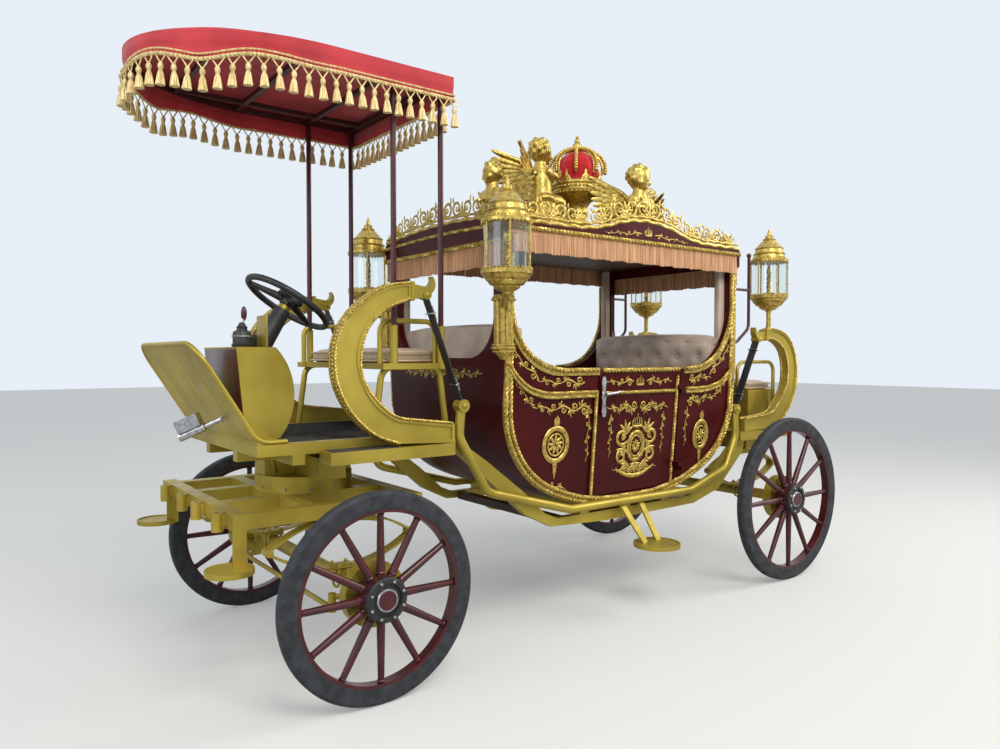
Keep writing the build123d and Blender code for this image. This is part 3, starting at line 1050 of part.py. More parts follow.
# Seats inside
inside_fit = side_plate(body_outline(WALL + SEAT_GAP), -600, 600) & body_section(WALL + SEAT_GAP)
SEAT_Z = 880
CUSHION_Z = 980
bases = []
for x in ((-900, -380), (380, 900)):
    bases.append(inside_fit & block((BODY_X + x[0], BODY_X + x[1]), (-600, 600), (500, SEAT_Z)))
node("seat_boxes", *bases)
for name, side, back_top in (("rear_seat", -1, 1415), ("front_seat", 1, 1440)):
    low, high = sorted((side * 360, side * 800))
    pad = block((BODY_X + low, BODY_X + high), (-474, 474), (SEAT_Z + SEAT_GAP, CUSHION_Z)) & inside_fit
    low, high = sorted((side * 680, side * 800))
    back = block((BODY_X + low, BODY_X + high), (-474, 474), (CUSHION_Z + SEAT_GAP, back_top)) & inside_fit
    node(name, pad, back)

# Steps at both doors: a rimmed round tread on two flat straps
STEP_Z = 341
STEP_R = 118
STEP_Y = 640
STEP_STRAP = (10, 34)
STEP_X = BODY_X - 50
step = Pos(STEP_X, STEP_Y, STEP_Z) * round_tread(STEP_R)
for x in (60, -80):
    top = Vector(STEP_X + x + 50, 488, 548)
    low = Vector(STEP_X + x * 0.7, STEP_Y - 40, STEP_Z + 4)
    place = Plane(origin=tuple(low), z_dir=top - low, x_dir=(1, 0, 0))
    step += place * Box(STEP_STRAP[1], STEP_STRAP[0], (top - low).length,
                        align=(Align.CENTER, Align.CENTER, Align.MIN))
step -= cradle
step = step.solids().sort_by(SortBy.VOLUME)[-1]
node("door_steps", *both(step))

# Brake actuator on the footboard's front: a motor box on a tube, with an eye at each end
ACTUATOR_BACK = (FRONT_X + 430, 250, 1060)
ACTUATOR_FRONT = (FRONT_X + 565, 150, 985)
ACTUATOR_LUG = 12
along = Vector(*ACTUATOR_FRONT) - Vector(*ACTUATOR_BACK)
actuator = rod(ACTUATOR_BACK, ACTUATOR_FRONT, 9)
middle = Vector(*ACTUATOR_BACK) + along * 0.42
actuator += rod(tuple(middle), ACTUATOR_FRONT, 17)
box_place = Plane(origin=tuple(middle), z_dir=along, x_dir=Vector(0, 0, 1).cross(along))
actuator += box_place * Pos(0, 36, 52) * Box(46, 50, 92)
actuator += Pos(*ACTUATOR_BACK) * Rot(90, 0, 0) * Cylinder(ACTUATOR_LUG, 16)
actuator += rod((ACTUATOR_BACK[0] - 40, ACTUATOR_BACK[1], ACTUATOR_BACK[2] + 23), ACTUATOR_BACK, 6)
actuator -= board
node("brake_actuator", actuator.solids().sort_by(SortBy.VOLUME)[-1])
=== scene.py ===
# %% [markdown]
# A gilt and maroon state carriage, dressed for its picture. The frame holds every rigid piece at its real
# place and size: wheels, axles, springs, platforms, the coach body, doors and lanterns. This script gives
# those pieces their finishes, and it models what a carver, a trimmer and an upholsterer add: ropes of gilt
# moulding, scrollwork, winged children, cushions, the canopy and its tassels. All lengths are in metres, +X
# is forward, +Y is the carriage's left and +Z is up.

# %% Load the frame
import json
import math
import random
import bpy
from mathutils import Matrix, Vector

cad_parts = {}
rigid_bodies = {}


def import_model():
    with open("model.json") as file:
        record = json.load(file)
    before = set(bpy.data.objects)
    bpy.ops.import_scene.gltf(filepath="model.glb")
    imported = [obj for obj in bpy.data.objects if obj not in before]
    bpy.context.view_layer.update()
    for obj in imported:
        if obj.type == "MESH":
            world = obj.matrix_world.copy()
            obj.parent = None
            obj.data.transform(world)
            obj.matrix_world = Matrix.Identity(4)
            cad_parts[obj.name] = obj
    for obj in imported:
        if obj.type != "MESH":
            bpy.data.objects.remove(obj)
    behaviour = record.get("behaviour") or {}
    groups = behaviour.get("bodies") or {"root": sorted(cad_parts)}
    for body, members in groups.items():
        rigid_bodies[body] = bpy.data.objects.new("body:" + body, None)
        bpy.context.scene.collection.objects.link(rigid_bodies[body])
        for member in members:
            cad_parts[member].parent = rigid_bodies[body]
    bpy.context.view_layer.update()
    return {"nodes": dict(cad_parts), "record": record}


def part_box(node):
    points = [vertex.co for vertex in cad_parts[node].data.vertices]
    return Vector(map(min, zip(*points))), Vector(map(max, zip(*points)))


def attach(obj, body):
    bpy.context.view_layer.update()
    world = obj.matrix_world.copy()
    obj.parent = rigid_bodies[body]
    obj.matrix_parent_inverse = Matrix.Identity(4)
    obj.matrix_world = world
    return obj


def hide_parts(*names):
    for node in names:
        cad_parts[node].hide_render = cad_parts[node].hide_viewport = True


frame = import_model()
cad_names = [thing.name for thing in bpy.data.objects]
random.seed(7)

# %% [markdown]
# Most pieces are placed from a handful of lines on the carriage. The two axles, the wheels' radii and the
# middle of the coach body are read from the frame, so a piece made here sits where the metal is. The belt,
# the bottom and the body's width and turn-under are sizes of the body's side, which leans in below the
# belt.

# %% Lines that place the ornament
BELT = 1.230
BODY_BOTTOM = 0.540
BODY_HALF_WIDTH = 0.522
TURN_UNDER = 0.060


def middle_and_half(node):
    """The middle of a node's box along X, and half its length."""
    low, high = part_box(node)
    return (low.x + high.x) / 2, (high.x - low.x) / 2


FRONT_AXLE, FRONT_RADIUS = middle_and_half("tyre_front_left")
REAR_AXLE, REAR_RADIUS = middle_and_half("tyre_rear_left")
BODY_MIDDLE = middle_and_half("roof")[0]


def body_x(x):
    """A distance forward of the coach body's middle, as a place on the carriage."""
    return BODY_MIDDLE + x


def front_x(x):
    """A distance forward of the front axle."""
    return FRONT_AXLE + x


def rear_x(x):
    """A distance forward of the rear axle."""
    return REAR_AXLE + x


def wall_y(z):
    """How far out the coach body's side stands at a height."""
    lean = max(0.0, BELT - z) / (BELT - BODY_BOTTOM)
    return BODY_HALF_WIDTH - TURN_UNDER * lean


print("axles at", round(FRONT_AXLE, 3), round(REAR_AXLE, 3), "body middle", round(BODY_MIDDLE, 3))

# %% [markdown]
# The camera stands beside the near front wheel at about a short adult's eye height and looks back along the
# carriage. Its lens is wide for the distance, which is why the front wheel looks larger than the rear one.
# It is set first, because every later choice of detail depends on how large a piece appears.

# %% Camera
EYE_HEIGHT = 1.305
camera_data = bpy.data.cameras.new("camera")
camera = bpy.data.objects.new("camera", camera_data)
bpy.context.scene.collection.objects.link(camera)
camera.location = (FRONT_AXLE + 1.353, 3.255, EYE_HEIGHT)
look = Vector((-0.6018, -0.7986, -0.0255))
camera.rotation_euler = look.to_track_quat("-Z", "Y").to_euler()
camera_data.sensor_width = 36.0
camera_data.lens = 27.54
camera_data.clip_end = 100.0
bpy.context.scene.camera = camera
bpy.context.scene.view_settings.view_transform = "Standard"
print("camera at", [round(value, 3) for value in camera.location])

# %% [markdown]
# The floor is one plain pale sheet. The world is a pale studio: the camera, mirrors and glass see its light
# grey, and the diffuse light from it is kept a little lower so that the paint keeps its depth. One broad
# lamp stands high on the camera's right, where the low sun is in the scene, and a weaker one fills from the
# left.

# %% Floor and light
FLOOR_SIZE = 60.0
FLOOR_GLOW = 0.22
LAMPS_AIM = Vector((0, 0, 1.0))
PRIMITIVES = {
    "circle": bpy.ops.mesh.primitive_circle_add, "cone": bpy.ops.mesh.primitive_cone_add,
    "cube": bpy.ops.mesh.primitive_cube_add, "cylinder": bpy.ops.mesh.primitive_cylinder_add,
    "grid": bpy.ops.mesh.primitive_grid_add, "plane": bpy.ops.mesh.primitive_plane_add,
    "torus": bpy.ops.mesh.primitive_torus_add, "uv_sphere": bpy.ops.mesh.primitive_uv_sphere_add,
}


def set_inputs(node, **values):
    """Set a node's inputs by name, with an underscore for each space."""
    for name, value in values.items():
        node.inputs[name.replace("_", " ")].default_value = value


def add_node(tree, kind, operation=None, **values):
    """A shader node with some of its inputs set."""
    node = tree.nodes.new("ShaderNode" + kind)
    if operation:
        node.operation = operation
    set_inputs(node, **values)
    return node


def add_primitive(kind, **settings):
    """One of Blender's plain meshes, which becomes the only selected piece."""
    bpy.ops.object.select_all(action="DESELECT")
    PRIMITIVES[kind](**settings)
    return bpy.context.object


floor = add_primitive("plane", size=FLOOR_SIZE, location=(0, 0, 0))
floor.name = "studio_floor"
floor_material = bpy.data.materials.new("studio_floor")
floor_material.use_nodes = True
tree = floor_material.node_tree
shader = tree.nodes["Principled BSDF"]
set_inputs(shader, Base_Color=(0.52, 0.52, 0.50, 1), Roughness=0.85, Emission_Color=(0.97, 0.98, 1.0, 1))
glow = add_node(tree, "Math", "MULTIPLY")
glow.inputs[1].default_value = FLOOR_GLOW
tree.links.new(add_node(tree, "LightPath").outputs["Is Camera Ray"], glow.inputs[0])
tree.links.new(glow.outputs[0], shader.inputs["Emission Strength"])
floor.data.materials.append(floor_material)

world = bpy.data.worlds.new("studio")
bpy.context.scene.world = world
world.use_nodes = True
tree = world.node_tree
tree.nodes.clear()
seen = add_node(tree, "Background", Color=(0.80, 0.86, 0.93, 1), Strength=1.0)
lit = add_node(tree, "Background", Color=(0.90, 0.95, 1.0, 1), Strength=0.58)
paths = add_node(tree, "LightPath")
clear_or_mirror = paths.outputs["Is Camera Ray"]
for name in ("Is Glossy Ray", "Is Transmission Ray"):
    either = add_node(tree, "Math", "MAXIMUM")
    tree.links.new(clear_or_mirror, either.inputs[0])
    tree.links.new(paths.outputs[name], either.inputs[1])
    clear_or_mirror = either.outputs[0]
mix = add_node(tree, "MixShader")
tree.links.new(clear_or_mirror, mix.inputs["Fac"])
tree.links.new(lit.outputs[0], mix.inputs[1])
tree.links.new(seen.outputs[0], mix.inputs[2])
tree.links.new(mix.outputs[0], add_node(tree, "OutputWorld").inputs["Surface"])

LAMPS = (
    # name, place, watts, size, colour
    ("key_lamp", (1.6, 6.0, 6.5), 400, 3.5, (1.0, 0.95, 0.88)),
    ("fill_lamp", (6.5, 1.0, 4.0), 130, 4.0, (0.92, 0.96, 1.0)),
    ("back_lamp", (-5.0, 3.0, 4.5), 170, 3.0, (1.0, 0.93, 0.84)),
)
for name, place, watts, size, colour in LAMPS:
    lamp_data = bpy.data.lights.new(name, "AREA")
    lamp_data.energy = watts
    lamp_data.size = size
    lamp_data.color = colour
    lamp = bpy.data.objects.new(name, lamp_data)
    bpy.context.scene.collection.objects.link(lamp)
    lamp.location = place
    lamp.rotation_euler = (LAMPS_AIM - Vector(place)).to_track_quat("-Z", "Y").to_euler()
print("lamps:", len(LAMPS))

# %% [markdown]
# Finishes come next. Each one is a small tree of nodes on Object coordinates, so the pattern stays with its
# piece when a wheel turns or a door swings. These helpers make the parts that all the trees share: a noise,
# a blend of two colours, a changing roughness and a relief.

# %% Helpers for finishes
finishes = {}


def start_finish(name, roughness, metallic=0.0, **inputs):
    """A new material with its shader and the piece's own coordinates."""
    material = bpy.data.materials.new(name)
    material.use_nodes = True
    tree = material.node_tree
    shader = tree.nodes["Principled BSDF"]
    set_inputs(shader, Roughness=roughness, Metallic=metallic, **inputs)
    finishes[name] = material
    return tree, shader, add_node(tree, "TexCoord").outputs["Object"]


def add_noise(tree, coords, scale, detail=3.0, stretch=(1, 1, 1)):
    """Noise of a given size on the piece, drawn out along an axis where stretch is under 1."""
    mapping = add_node(tree, "Mapping", Scale=stretch)
    noise = add_node(tree, "TexNoise", Scale=scale, Detail=detail)
    tree.links.new(coords, mapping.inputs["Vector"])
    tree.links.new(mapping.outputs[0], noise.inputs["Vector"])
    return noise.outputs["Fac"]


def add_colours(tree, shader, factor, dark, light, start=0.35, end=0.65):
    """The shader's colour, from a dark to a light tone."""
    ramp = tree.nodes.new("ShaderNodeValToRGB")
    for stop, position, colour in zip(ramp.color_ramp.elements, (start, end), (dark, light)):
        stop.position = position
        stop.color = (*colour, 1)
    tree.links.new(factor, ramp.inputs["Fac"])
    tree.links.new(ramp.outputs["Color"], shader.inputs["Base Color"])


def add_roughness(tree, shader, factor, smooth, rough):
    """The shader's roughness, between two values."""
    spread = add_node(tree, "MapRange", From_Min=0.3, From_Max=0.7, To_Min=smooth, To_Max=rough)
    tree.links.new(factor, spread.inputs["Value"])
    tree.links.new(spread.outputs["Result"], shader.inputs["Roughness"])


def add_relief(tree, shader, height, distance, strength=1.0):
    """A bump of a real depth in metres."""
    bump = add_node(tree, "Bump", Distance=distance, Strength=strength)
    tree.links.new(height, bump.inputs["Height"])
    tree.links.new(bump.outputs["Normal"], shader.inputs["Normal"])


def make_finish(name, roughness, dark, light, tone, grain, depth, strength, **inputs):
    """A whole finish: one noise blends two colours, and a second one is its relief. A noise is given by its
    scale and detail, and any other input of the shader by its name."""
    tree, shader, coords = start_finish(name, roughness, **inputs)
    add_colours(tree, shader, add_noise(tree, coords, *tone), dark, light)
    add_relief(tree, shader, add_noise(tree, coords, *grain), depth, strength)


# %% [markdown]
# The running gear and the platforms are sprayed in a satin metallic yellow gold. It is a paint with fine
# flakes, so it is part metal, a little uneven in tone, and it has the soft grain of a sprayed coat. The
# cast ornament has a brighter gilt, darker in small random patches.

# %% Gold paint and gilt
tree, shader, coords = start_finish("gold_paint", 0.42, 0.60)
add_colours(tree, shader, add_noise(tree, coords, 3.0, 4.0), (0.35, 0.262, 0.034), (0.51, 0.395, 0.062))
add_roughness(tree, shader, add_noise(tree, coords, 22.0, 3.0), 0.34, 0.52)
add_relief(tree, shader, add_noise(tree, coords, 420.0, 2.0), 0.0004, 0.35)

tree, shader, coords = start_finish("gilt_carving", 0.34, 0.75)
# A random noise darkens the gilt in small patches; it does not follow the carving's hollows.
gilt_patch_noise = add_noise(tree, coords, 60.0, 4.0)
add_colours(tree, shader, gilt_patch_noise, (0.30, 0.195, 0.034), (0.64, 0.475, 0.120), 0.30, 0.62)
add_roughness(tree, shader, add_noise(tree, coords, 35.0, 3.0), 0.24, 0.46)
add_relief(tree, shader, add_noise(tree, coords, 170.0, 3.0), 0.0012, 0.5)

# %% [markdown]
# The coachwork is deep maroon under a thick clear lacquer: a dark coloured base with a mirror-smooth coat,
# and the slow waviness of hand-rubbed panels, which bends the reflections. Wheels and posts are a redder
# maroon with a thinner gloss.

# %% Maroon lacquers and dark paints
make_finish("maroon_gloss", 0.36, (0.046, 0.0022, 0.0030), (0.068, 0.0034, 0.0046), (5.0, 3.0), (9.0, 2.0),
            0.004, 0.12, Specular_IOR_Level=0.12, Coat_Weight=0.06, Coat_Roughness=0.08)
make_finish("maroon_paint", 0.38, (0.040, 0.0035, 0.006), (0.074, 0.006, 0.010), (14.0, 4.0), (180.0, 3.0),
            0.0005, 0.3, Specular_IOR_Level=0.35, Coat_Weight=0.35, Coat_Roughness=0.16)
make_finish("brown_frame", 0.5, (0.030, 0.012, 0.006), (0.065, 0.030, 0.014), (18.0, 4.0), (220.0, 3.0),
            0.0006, 0.4)
make_finish("dark_frame", 0.45, (0.030, 0.006, 0.008), (0.055, 0.012, 0.014), (18.0, 4.0), (220.0, 3.0),
            0.0005, 0.3)

# %% [markdown]
# Rubber and black plastic are matt, with dust that lightens the rubber and a fine moulded grain.

# %% Rubber and plastic
make_finish("tyre_rubber", 0.72, (0.011, 0.013, 0.017), (0.032, 0.036, 0.043), (26.0, 5.0), (500.0, 3.0),
            0.0006, 0.5)
make_finish("deck_rubber", 0.8, (0.012, 0.012, 0.013), (0.045, 0.043, 0.040), (40.0, 5.0), (260.0, 2.0),
            0.0015, 0.7)
make_finish("black_plastic", 0.48, (0.010, 0.010, 0.011), (0.022, 0.022, 0.024), (50.0, 3.0), (600.0, 2.0),
            0.0004, 0.4)

# %% [markdown]
# Leather has a pebbled grain, which a Voronoi pattern of small cells gives, over a slow change of tone
# where hands and light have worked on it. The cushions are champagne, the cabin is tan, and the straps are
# black.

# %% Leathers
PEBBLE_STRENGTH = 0.6
LEATHERS = (
    # name, roughness, dark, light, grains in a metre, depth
    ("pale_leather", 0.46, (0.44, 0.34, 0.235), (0.60, 0.48, 0.35), 330, 0.0009),
    ("tan_leather", 0.44, (0.44, 0.345, 0.270), (0.62, 0.500, 0.405), 330, 0.0009),
    ("strap_leather", 0.52, (0.010, 0.010, 0.010), (0.030, 0.028, 0.026), 420, 0.0006),
)
for name, roughness, dark, light, grains, depth in LEATHERS:
    tree, shader, coords = start_finish(name, roughness)
    add_colours(tree, shader, add_noise(tree, coords, 7.0, 4.0), dark, light)
    cells = add_node(tree, "TexVoronoi")
    cells.feature = "SMOOTH_F1"
    set_inputs(cells, Scale=grains)
    tree.links.new(coords, cells.inputs["Vector"])
    add_relief(tree, shader, cells.outputs["Distance"], depth, PEBBLE_STRENGTH)

# %% [markdown]
# The canopy is a plain woven cloth, thin enough that its underside glows when the sun is on it, though this
# finish lets no light through. A sheen gives the soft light at grazing angles, and two crossed waves give the
# weave. The crown's cap is velvet, whose pile is darker straight on and lighter at its edges. The fringe is
# twisted silk: fine upright lines.

# %% Cloth, velvet and fringe
THREADS = 160.0
tree, shader, coords = start_finish("canopy_cloth", 0.70, Sheen_Weight=0.35, Sheen_Roughness=0.4)
add_colours(tree, shader, add_noise(tree, coords, 6.0, 4.0), (0.42, 0.018, 0.028), (0.58, 0.035, 0.045))
crossed = add_node(tree, "Math", "ADD")
for number, direction in enumerate(("X", "Z")):
    wave = add_node(tree, "TexWave", Scale=THREADS)
    wave.bands_direction = direction
    tree.links.new(coords, wave.inputs["Vector"])
    tree.links.new(wave.outputs["Fac"], crossed.inputs[number])
add_relief(tree, shader, crossed.outputs[0], 0.0006, 0.5)

make_finish("red_velvet", 0.85, (0.40, 0.006, 0.010), (0.62, 0.012, 0.018), (30.0, 4.0), (700.0, 2.0),
            0.0006, 0.6, Sheen_Weight=0.8, Sheen_Roughness=0.3)
strands = (90.0, 3.0, (1, 1, 0.04))
make_finish("tan_fringe", 0.62, (0.40, 0.185, 0.080), (0.68, 0.385, 0.190), strands, strands,
            0.002, 0.6, Sheen_Weight=0.3)
strands = (160.0, 3.0, (1, 1, 0.05))
make_finish("gold_silk", 0.52, (0.52, 0.37, 0.13), (0.88, 0.72, 0.38), strands, strands,
            0.0015, 0.6, metallic=0.15)

# %% [markdown]
# Clear glass, polished steel and the plain bright parts of the hubs finish the list.

# %% Glass and steel
tree, shader, coords = start_finish("clear_glass", 0.03, Base_Color=(0.93, 0.97, 0.96, 1),
                                    Transmission_Weight=1.0, IOR=1.45)
add_relief(tree, shader, add_noise(tree, coords, 25.0, 2.0), 0.002, 0.15)
make_finish("bare_steel", 0.30, (0.34, 0.34, 0.35), (0.56, 0.56, 0.57), (70.0, 3.0),
            (400.0, 2.0, (1, 0.05, 1)),
            0.0003, 0.3, metallic=0.95)
print("finishes:", len(finishes))

# %% [markdown]
# The rigid nodes of the frame take the finish that the record names for them.

# %% Finishes on the frame's pieces
slot_of = {part["node"]: part["material_slot"] for part in frame["record"]["subparts"]}
for name, piece in frame["nodes"].items():
    finish = finishes[slot_of[name]]
    if piece.material_slots:
        piece.material_slots[0].material = finish
    else:
        piece.data.materials.append(finish)
print("painted", len(slot_of), "nodes")

# %% [markdown]
# From here on, new pieces are modelled. Two things happen to every one of them at the end: its place is
# moved into its mesh, so that its object sits at the origin like the frame's own pieces, and it is hung on
# the body that carries it, so that a door's carving swings with the door.

# %% Helpers for finishing a piece
CARRIAGE = "carriage"


def only(*chosen):
    """Select these pieces and nothing else, with the first one active."""
    bpy.ops.object.select_all(action="DESELECT")
    for piece in chosen:
        piece.select_set(True)
    bpy.context.view_layer.objects.active = chosen[0]


def apply_modifier(piece, kind, **settings):
    """Add a modifier with its settings and apply it."""
    modifier = piece.modifiers.new("step", kind)
    for name, value in settings.items():
        setattr(modifier, name, value)
    only(piece)
    bpy.ops.object.modifier_apply(modifier=modifier.name)


def joined(chosen):
    """Several pieces made one."""
    only(*chosen)
    if len(chosen) > 1:
        bpy.ops.object.join()
    return chosen[0]


def settle(piece, name, finish, body=CARRIAGE, angle=40):
    """Name a piece, put its place into its mesh, smooth it, paint it and hang it on its body."""
    only(piece)
    bpy.ops.object.transform_apply(location=True, rotation=True, scale=True)
    bpy.ops.object.shade_smooth_by_angle(angle=math.radians(angle))
    piece.name = name
    piece.data.materials.clear()
    piece.data.materials.append(finishes[finish])
    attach(piece, body)
    print(name, "triangles:", sum(len(face.vertices) - 2 for face in piece.data.polygons))
    return piece


def copy_at(piece, matrix):
    """A copy of a piece with a mesh of its own, moved by a matrix."""
    copy = bpy.data.objects.new(piece.name, piece.data.copy())
    bpy.context.scene.collection.objects.link(copy)
    copy.data.transform(matrix)
    return copy


def spread(piece, matrices):
    """One mesh made of copies of a piece at many places. The piece itself is used up."""
    copies = [copy_at(piece, matrix) for matrix in matrices]
    bpy.data.objects.remove(piece)
    return joined(copies)


def face_out(piece):
    """Turn every face of a closed piece outwards."""
    only(piece)
    bpy.ops.object.mode_set(mode="EDIT")
    bpy.ops.mesh.select_all(action="SELECT")
    bpy.ops.mesh.normals_make_consistent(inside=False)
    bpy.ops.object.mode_set(mode="OBJECT")


def mirrored(piece):
    """The same piece on the carriage's other side."""
    copy = copy_at(piece, Matrix.Scale(-1, 4, (0, 1, 0)))
    face_out(copy)
    return copy


def both_sides(piece):
    """A piece and its mirror image as one."""
    return joined([piece, mirrored(piece)])


def settle_pair(left, name, finish, angle=40, body=None):
    """Settle a left-hand piece and its mirror image. Both are hung on the body of their own side, if one is
    named, or else on the carriage."""
    for side, piece in (("_left", left), ("_right", mirrored(left))):
        settle(piece, name + side, finish, body + side if body else CARRIAGE, angle)


def ring_of(count, reach=1.0, offset=0.0):
    """Evenly spaced angles of a circle, each with its two places."""
    for number in range(count):
        angle = 2 * math.pi * (number + offset) / count
        yield angle, reach * math.cos(angle), reach * math.sin(angle)


def moved(*place):
    """The matrix of a move to a place."""
    return Matrix.Translation(place)


def turned(degrees, axis):
    """The matrix of a turn about an axis."""
    return Matrix.Rotation(math.radians(degrees), 4, axis)


# %% [markdown]
# Turned pieces, such as a lantern's knob or a tassel's head, start as half of their outline. A Screw
# modifier turns that line about its upright axis, which is what a lathe does. Carved strokes, such as a
# scroll or a leaf's rib, are tapered round bars along a smooth line. A curve does that well: each of its
# points has its own radius, and its round bevel becomes the bar.

# %% Helpers for turned work, bars and strokes


def line_object(lines, cyclic=False, smooth=False):
    """A curve object from lines of (x, y, z, radius) points. A point may have a tilt after its radius."""
    curve = bpy.data.curves.new("line", "CURVE")
    curve.dimensions = "3D"
    curve.twist_mode = "MINIMUM"
    for points in lines:
        spline = curve.splines.new("NURBS" if smooth else "POLY")
        spline.points.add(len(points) - 1)
        for place, (x, y, z, radius, *tilt) in zip(spline.points, points):
            place.co = (x, y, z, 1)
            place.radius = radius
            place.tilt = tilt[0] if tilt else 0.0
        spline.use_cyclic_u = cyclic
        if smooth:
            spline.order_u = min(4, len(points))
            spline.use_endpoint_u = True
            spline.resolution_u = smooth
    piece = bpy.data.objects.new("line", curve)
    bpy.context.scene.collection.objects.link(piece)
    return piece


def lathe(profile, place=(0, 0, 0), steps=24):
    """A solid turned about an upright line, from (radius, height) points that start and end on it."""
    piece = line_object([[(radius, 0, height, 1) for radius, height in profile]])
    only(piece)
    bpy.ops.object.convert(target="MESH")
    apply_modifier(piece, "SCREW", steps=steps, render_steps=steps, use_merge_vertices=True,
                   merge_threshold=1e-5)
    face_out(piece)
    piece.data.transform(Matrix.Translation(place))
    return piece


def bars(lines, sides=2, smooth=6, section=None):
    """Round bars along lines of (x, y, z, radius) points, or bars of another section."""
    piece = line_object(lines, smooth=smooth)
    piece.data.use_fill_caps = True
    if section is None:
        piece.data.bevel_depth = 1.0
        piece.data.bevel_resolution = sides
    else:
        piece.data.bevel_mode = "OBJECT"
        piece.data.bevel_object = section
    only(piece)
    bpy.ops.object.convert(target="MESH")
    if section is not None:
        bpy.data.objects.remove(section)
    return piece


def smooth_line(points, step):
    """Evenly spaced points on a smooth line through the given ones."""
    knots = [Vector(point) for point in points]
    ends = [2 * knots[0] - knots[1], *knots, 2 * knots[-1] - knots[-2]]
    fine = [knots[0]]
    for before, here, there, after in zip(ends, ends[1:], ends[2:], ends[3:]):
        for share in range(1, 13):
            t = share / 12
            fine.append(0.5 * (2 * here + (there - before) * t
                               + (2 * before - 5 * here + 4 * there - after) * t * t
                               + (3 * here - before - 3 * there + after) * t * t * t))
    spots = [fine[0]]
    left = step
    for here, there in zip(fine, fine[1:]):
        length = (there - here).length
        while length >= left:
            here = here.lerp(there, left / length)
            spots.append(here)
            length = (there - here).length
            left = step
        left -= length
    return spots


def straight_line(points, step):
    """Evenly spaced points on straight runs."""
    spots = []
    for here, there in zip(points, points[1:]):
        here, there = Vector(here), Vector(there)
        count = max(1, round((there - here).length / step))
        spots.extend(here.lerp(there, number / count) for number in range(count))
    return spots + [Vector(points[-1])]


# %% [markdown]
# Most of the gilt lines on the carriage are twisted ropes of cast moulding. The section is three round
# strands in a bundle, and it is turned a little at each step along the line, as a rope maker would lay it.
# The tilt of the curve's points makes that turn.

# %% Helper for ropes
ROPE_STRANDS = 3
ROPE_LAY = 5.6


def rope(lines, radius, straight=False):
    """Twisted ropes along lines of (x, y, z) places."""
    corners = ROPE_STRANDS * 4
    section = []
    for number in range(corners):
        angle = 2 * math.pi * number / corners
        reach = radius * (1.06 - 0.40 * (1 - abs(math.cos(ROPE_STRANDS * angle / 2))))
        section.append((reach * math.cos(angle), reach * math.sin(angle), 0, 1))
    step = radius * 0.86
    turn = 2 * math.pi * step / (ROPE_LAY * radius)
    laid = []
    for line in lines:
        spots = straight_line(line, step) if straight else smooth_line(line, step)
        laid.append([(*spot, 1, turn * number) for number, spot in enumerate(spots)])
    return bars(laid, smooth=False, section=line_object([section], cyclic=True))


print("helpers are ready")

# %% [markdown]
# The canopy is a red cloth stretched over a low frame, with a valance that hangs from its edge. Along the
# sides the valance is nearly straight, and round the front it is cut in scallops whose tips hang low. One
# sheet holds all of it: a ring of points follows the edge, and every ring inside it is drawn in and lifted
# to make the dome. The rings are extruded one from another, and then each point is put where the cloth
# would pull it.

# %% The canopy's cloth
CANOPY_BACK = FRONT_AXLE - 0.493
CANOPY_TURN = FRONT_AXLE + 0.060
CANOPY_REACH = 0.660
CANOPY_HALF = 0.476
VALANCE_TOP = 2.503
VALANCE_LOW = 2.404
CANOPY_CROWN = 2.555
EDGE_POINTS = 320
DOME_RINGS = 14
VALANCE_RINGS = 9
SCALLOPS = 4
CLOTH_THICKNESS = 0.003


def canopy_edge(share):
    """A place on the canopy's edge from 0 to 1, round from the rear left corner, and its way outwards."""
    side = CANOPY_TURN - CANOPY_BACK
    nose = math.pi * math.sqrt((CANOPY_REACH ** 2 + CANOPY_HALF ** 2) / 2)
    lengths = (side, nose, side, 2 * CANOPY_HALF)
    along = share * sum(lengths)
    if along < lengths[0]:
        return Vector((CANOPY_BACK + along, CANOPY_HALF, 0)), Vector((0, 1, 0)), -1.0
    along -= lengths[0]
    if along < lengths[1]:
        turn = math.pi * along / lengths[1]
        place = Vector((CANOPY_TURN + CANOPY_REACH * math.sin(turn), CANOPY_HALF * math.cos(turn), 0))
        out = Vector((math.sin(turn) / CANOPY_REACH, math.cos(turn) / CANOPY_HALF, 0)).normalized()
        return place, out, along / lengths[1]
    along -= lengths[1]
    if along < lengths[2]:
        return Vector((CANOPY_TURN - along, -CANOPY_HALF, 0)), Vector((0, -1, 0)), -1.0
    along -= lengths[2]
    return Vector((CANOPY_BACK, -CANOPY_HALF + along, 0)), Vector((-1, 0, 0)), -1.0


def canopy_height(x, y):
    """The dome's height over a place on the plan."""
    middle = (CANOPY_BACK + CANOPY_TURN + CANOPY_REACH) / 2
    half = (CANOPY_TURN + CANOPY_REACH - CANOPY_BACK) / 2
    along = min(1.0, abs(x - middle) / half)
    across = min(1.0, abs(y) / CANOPY_HALF)
    return VALANCE_TOP + (CANOPY_CROWN - VALANCE_TOP) * (1 - along ** 2) * (1 - across ** 2)


def valance_hem(nose):
    """How far below its line the hem hangs, by the share of the way round the front."""
    if nose < 0:
        return 0.0
    swing = nose * SCALLOPS
    fade = min(1.0, min(nose, 1 - nose) / 0.16)
    return fade * (0.018 * abs(math.cos(math.pi * swing)) ** 2.4 - 0.016 * abs(math.sin(math.pi * swing)))


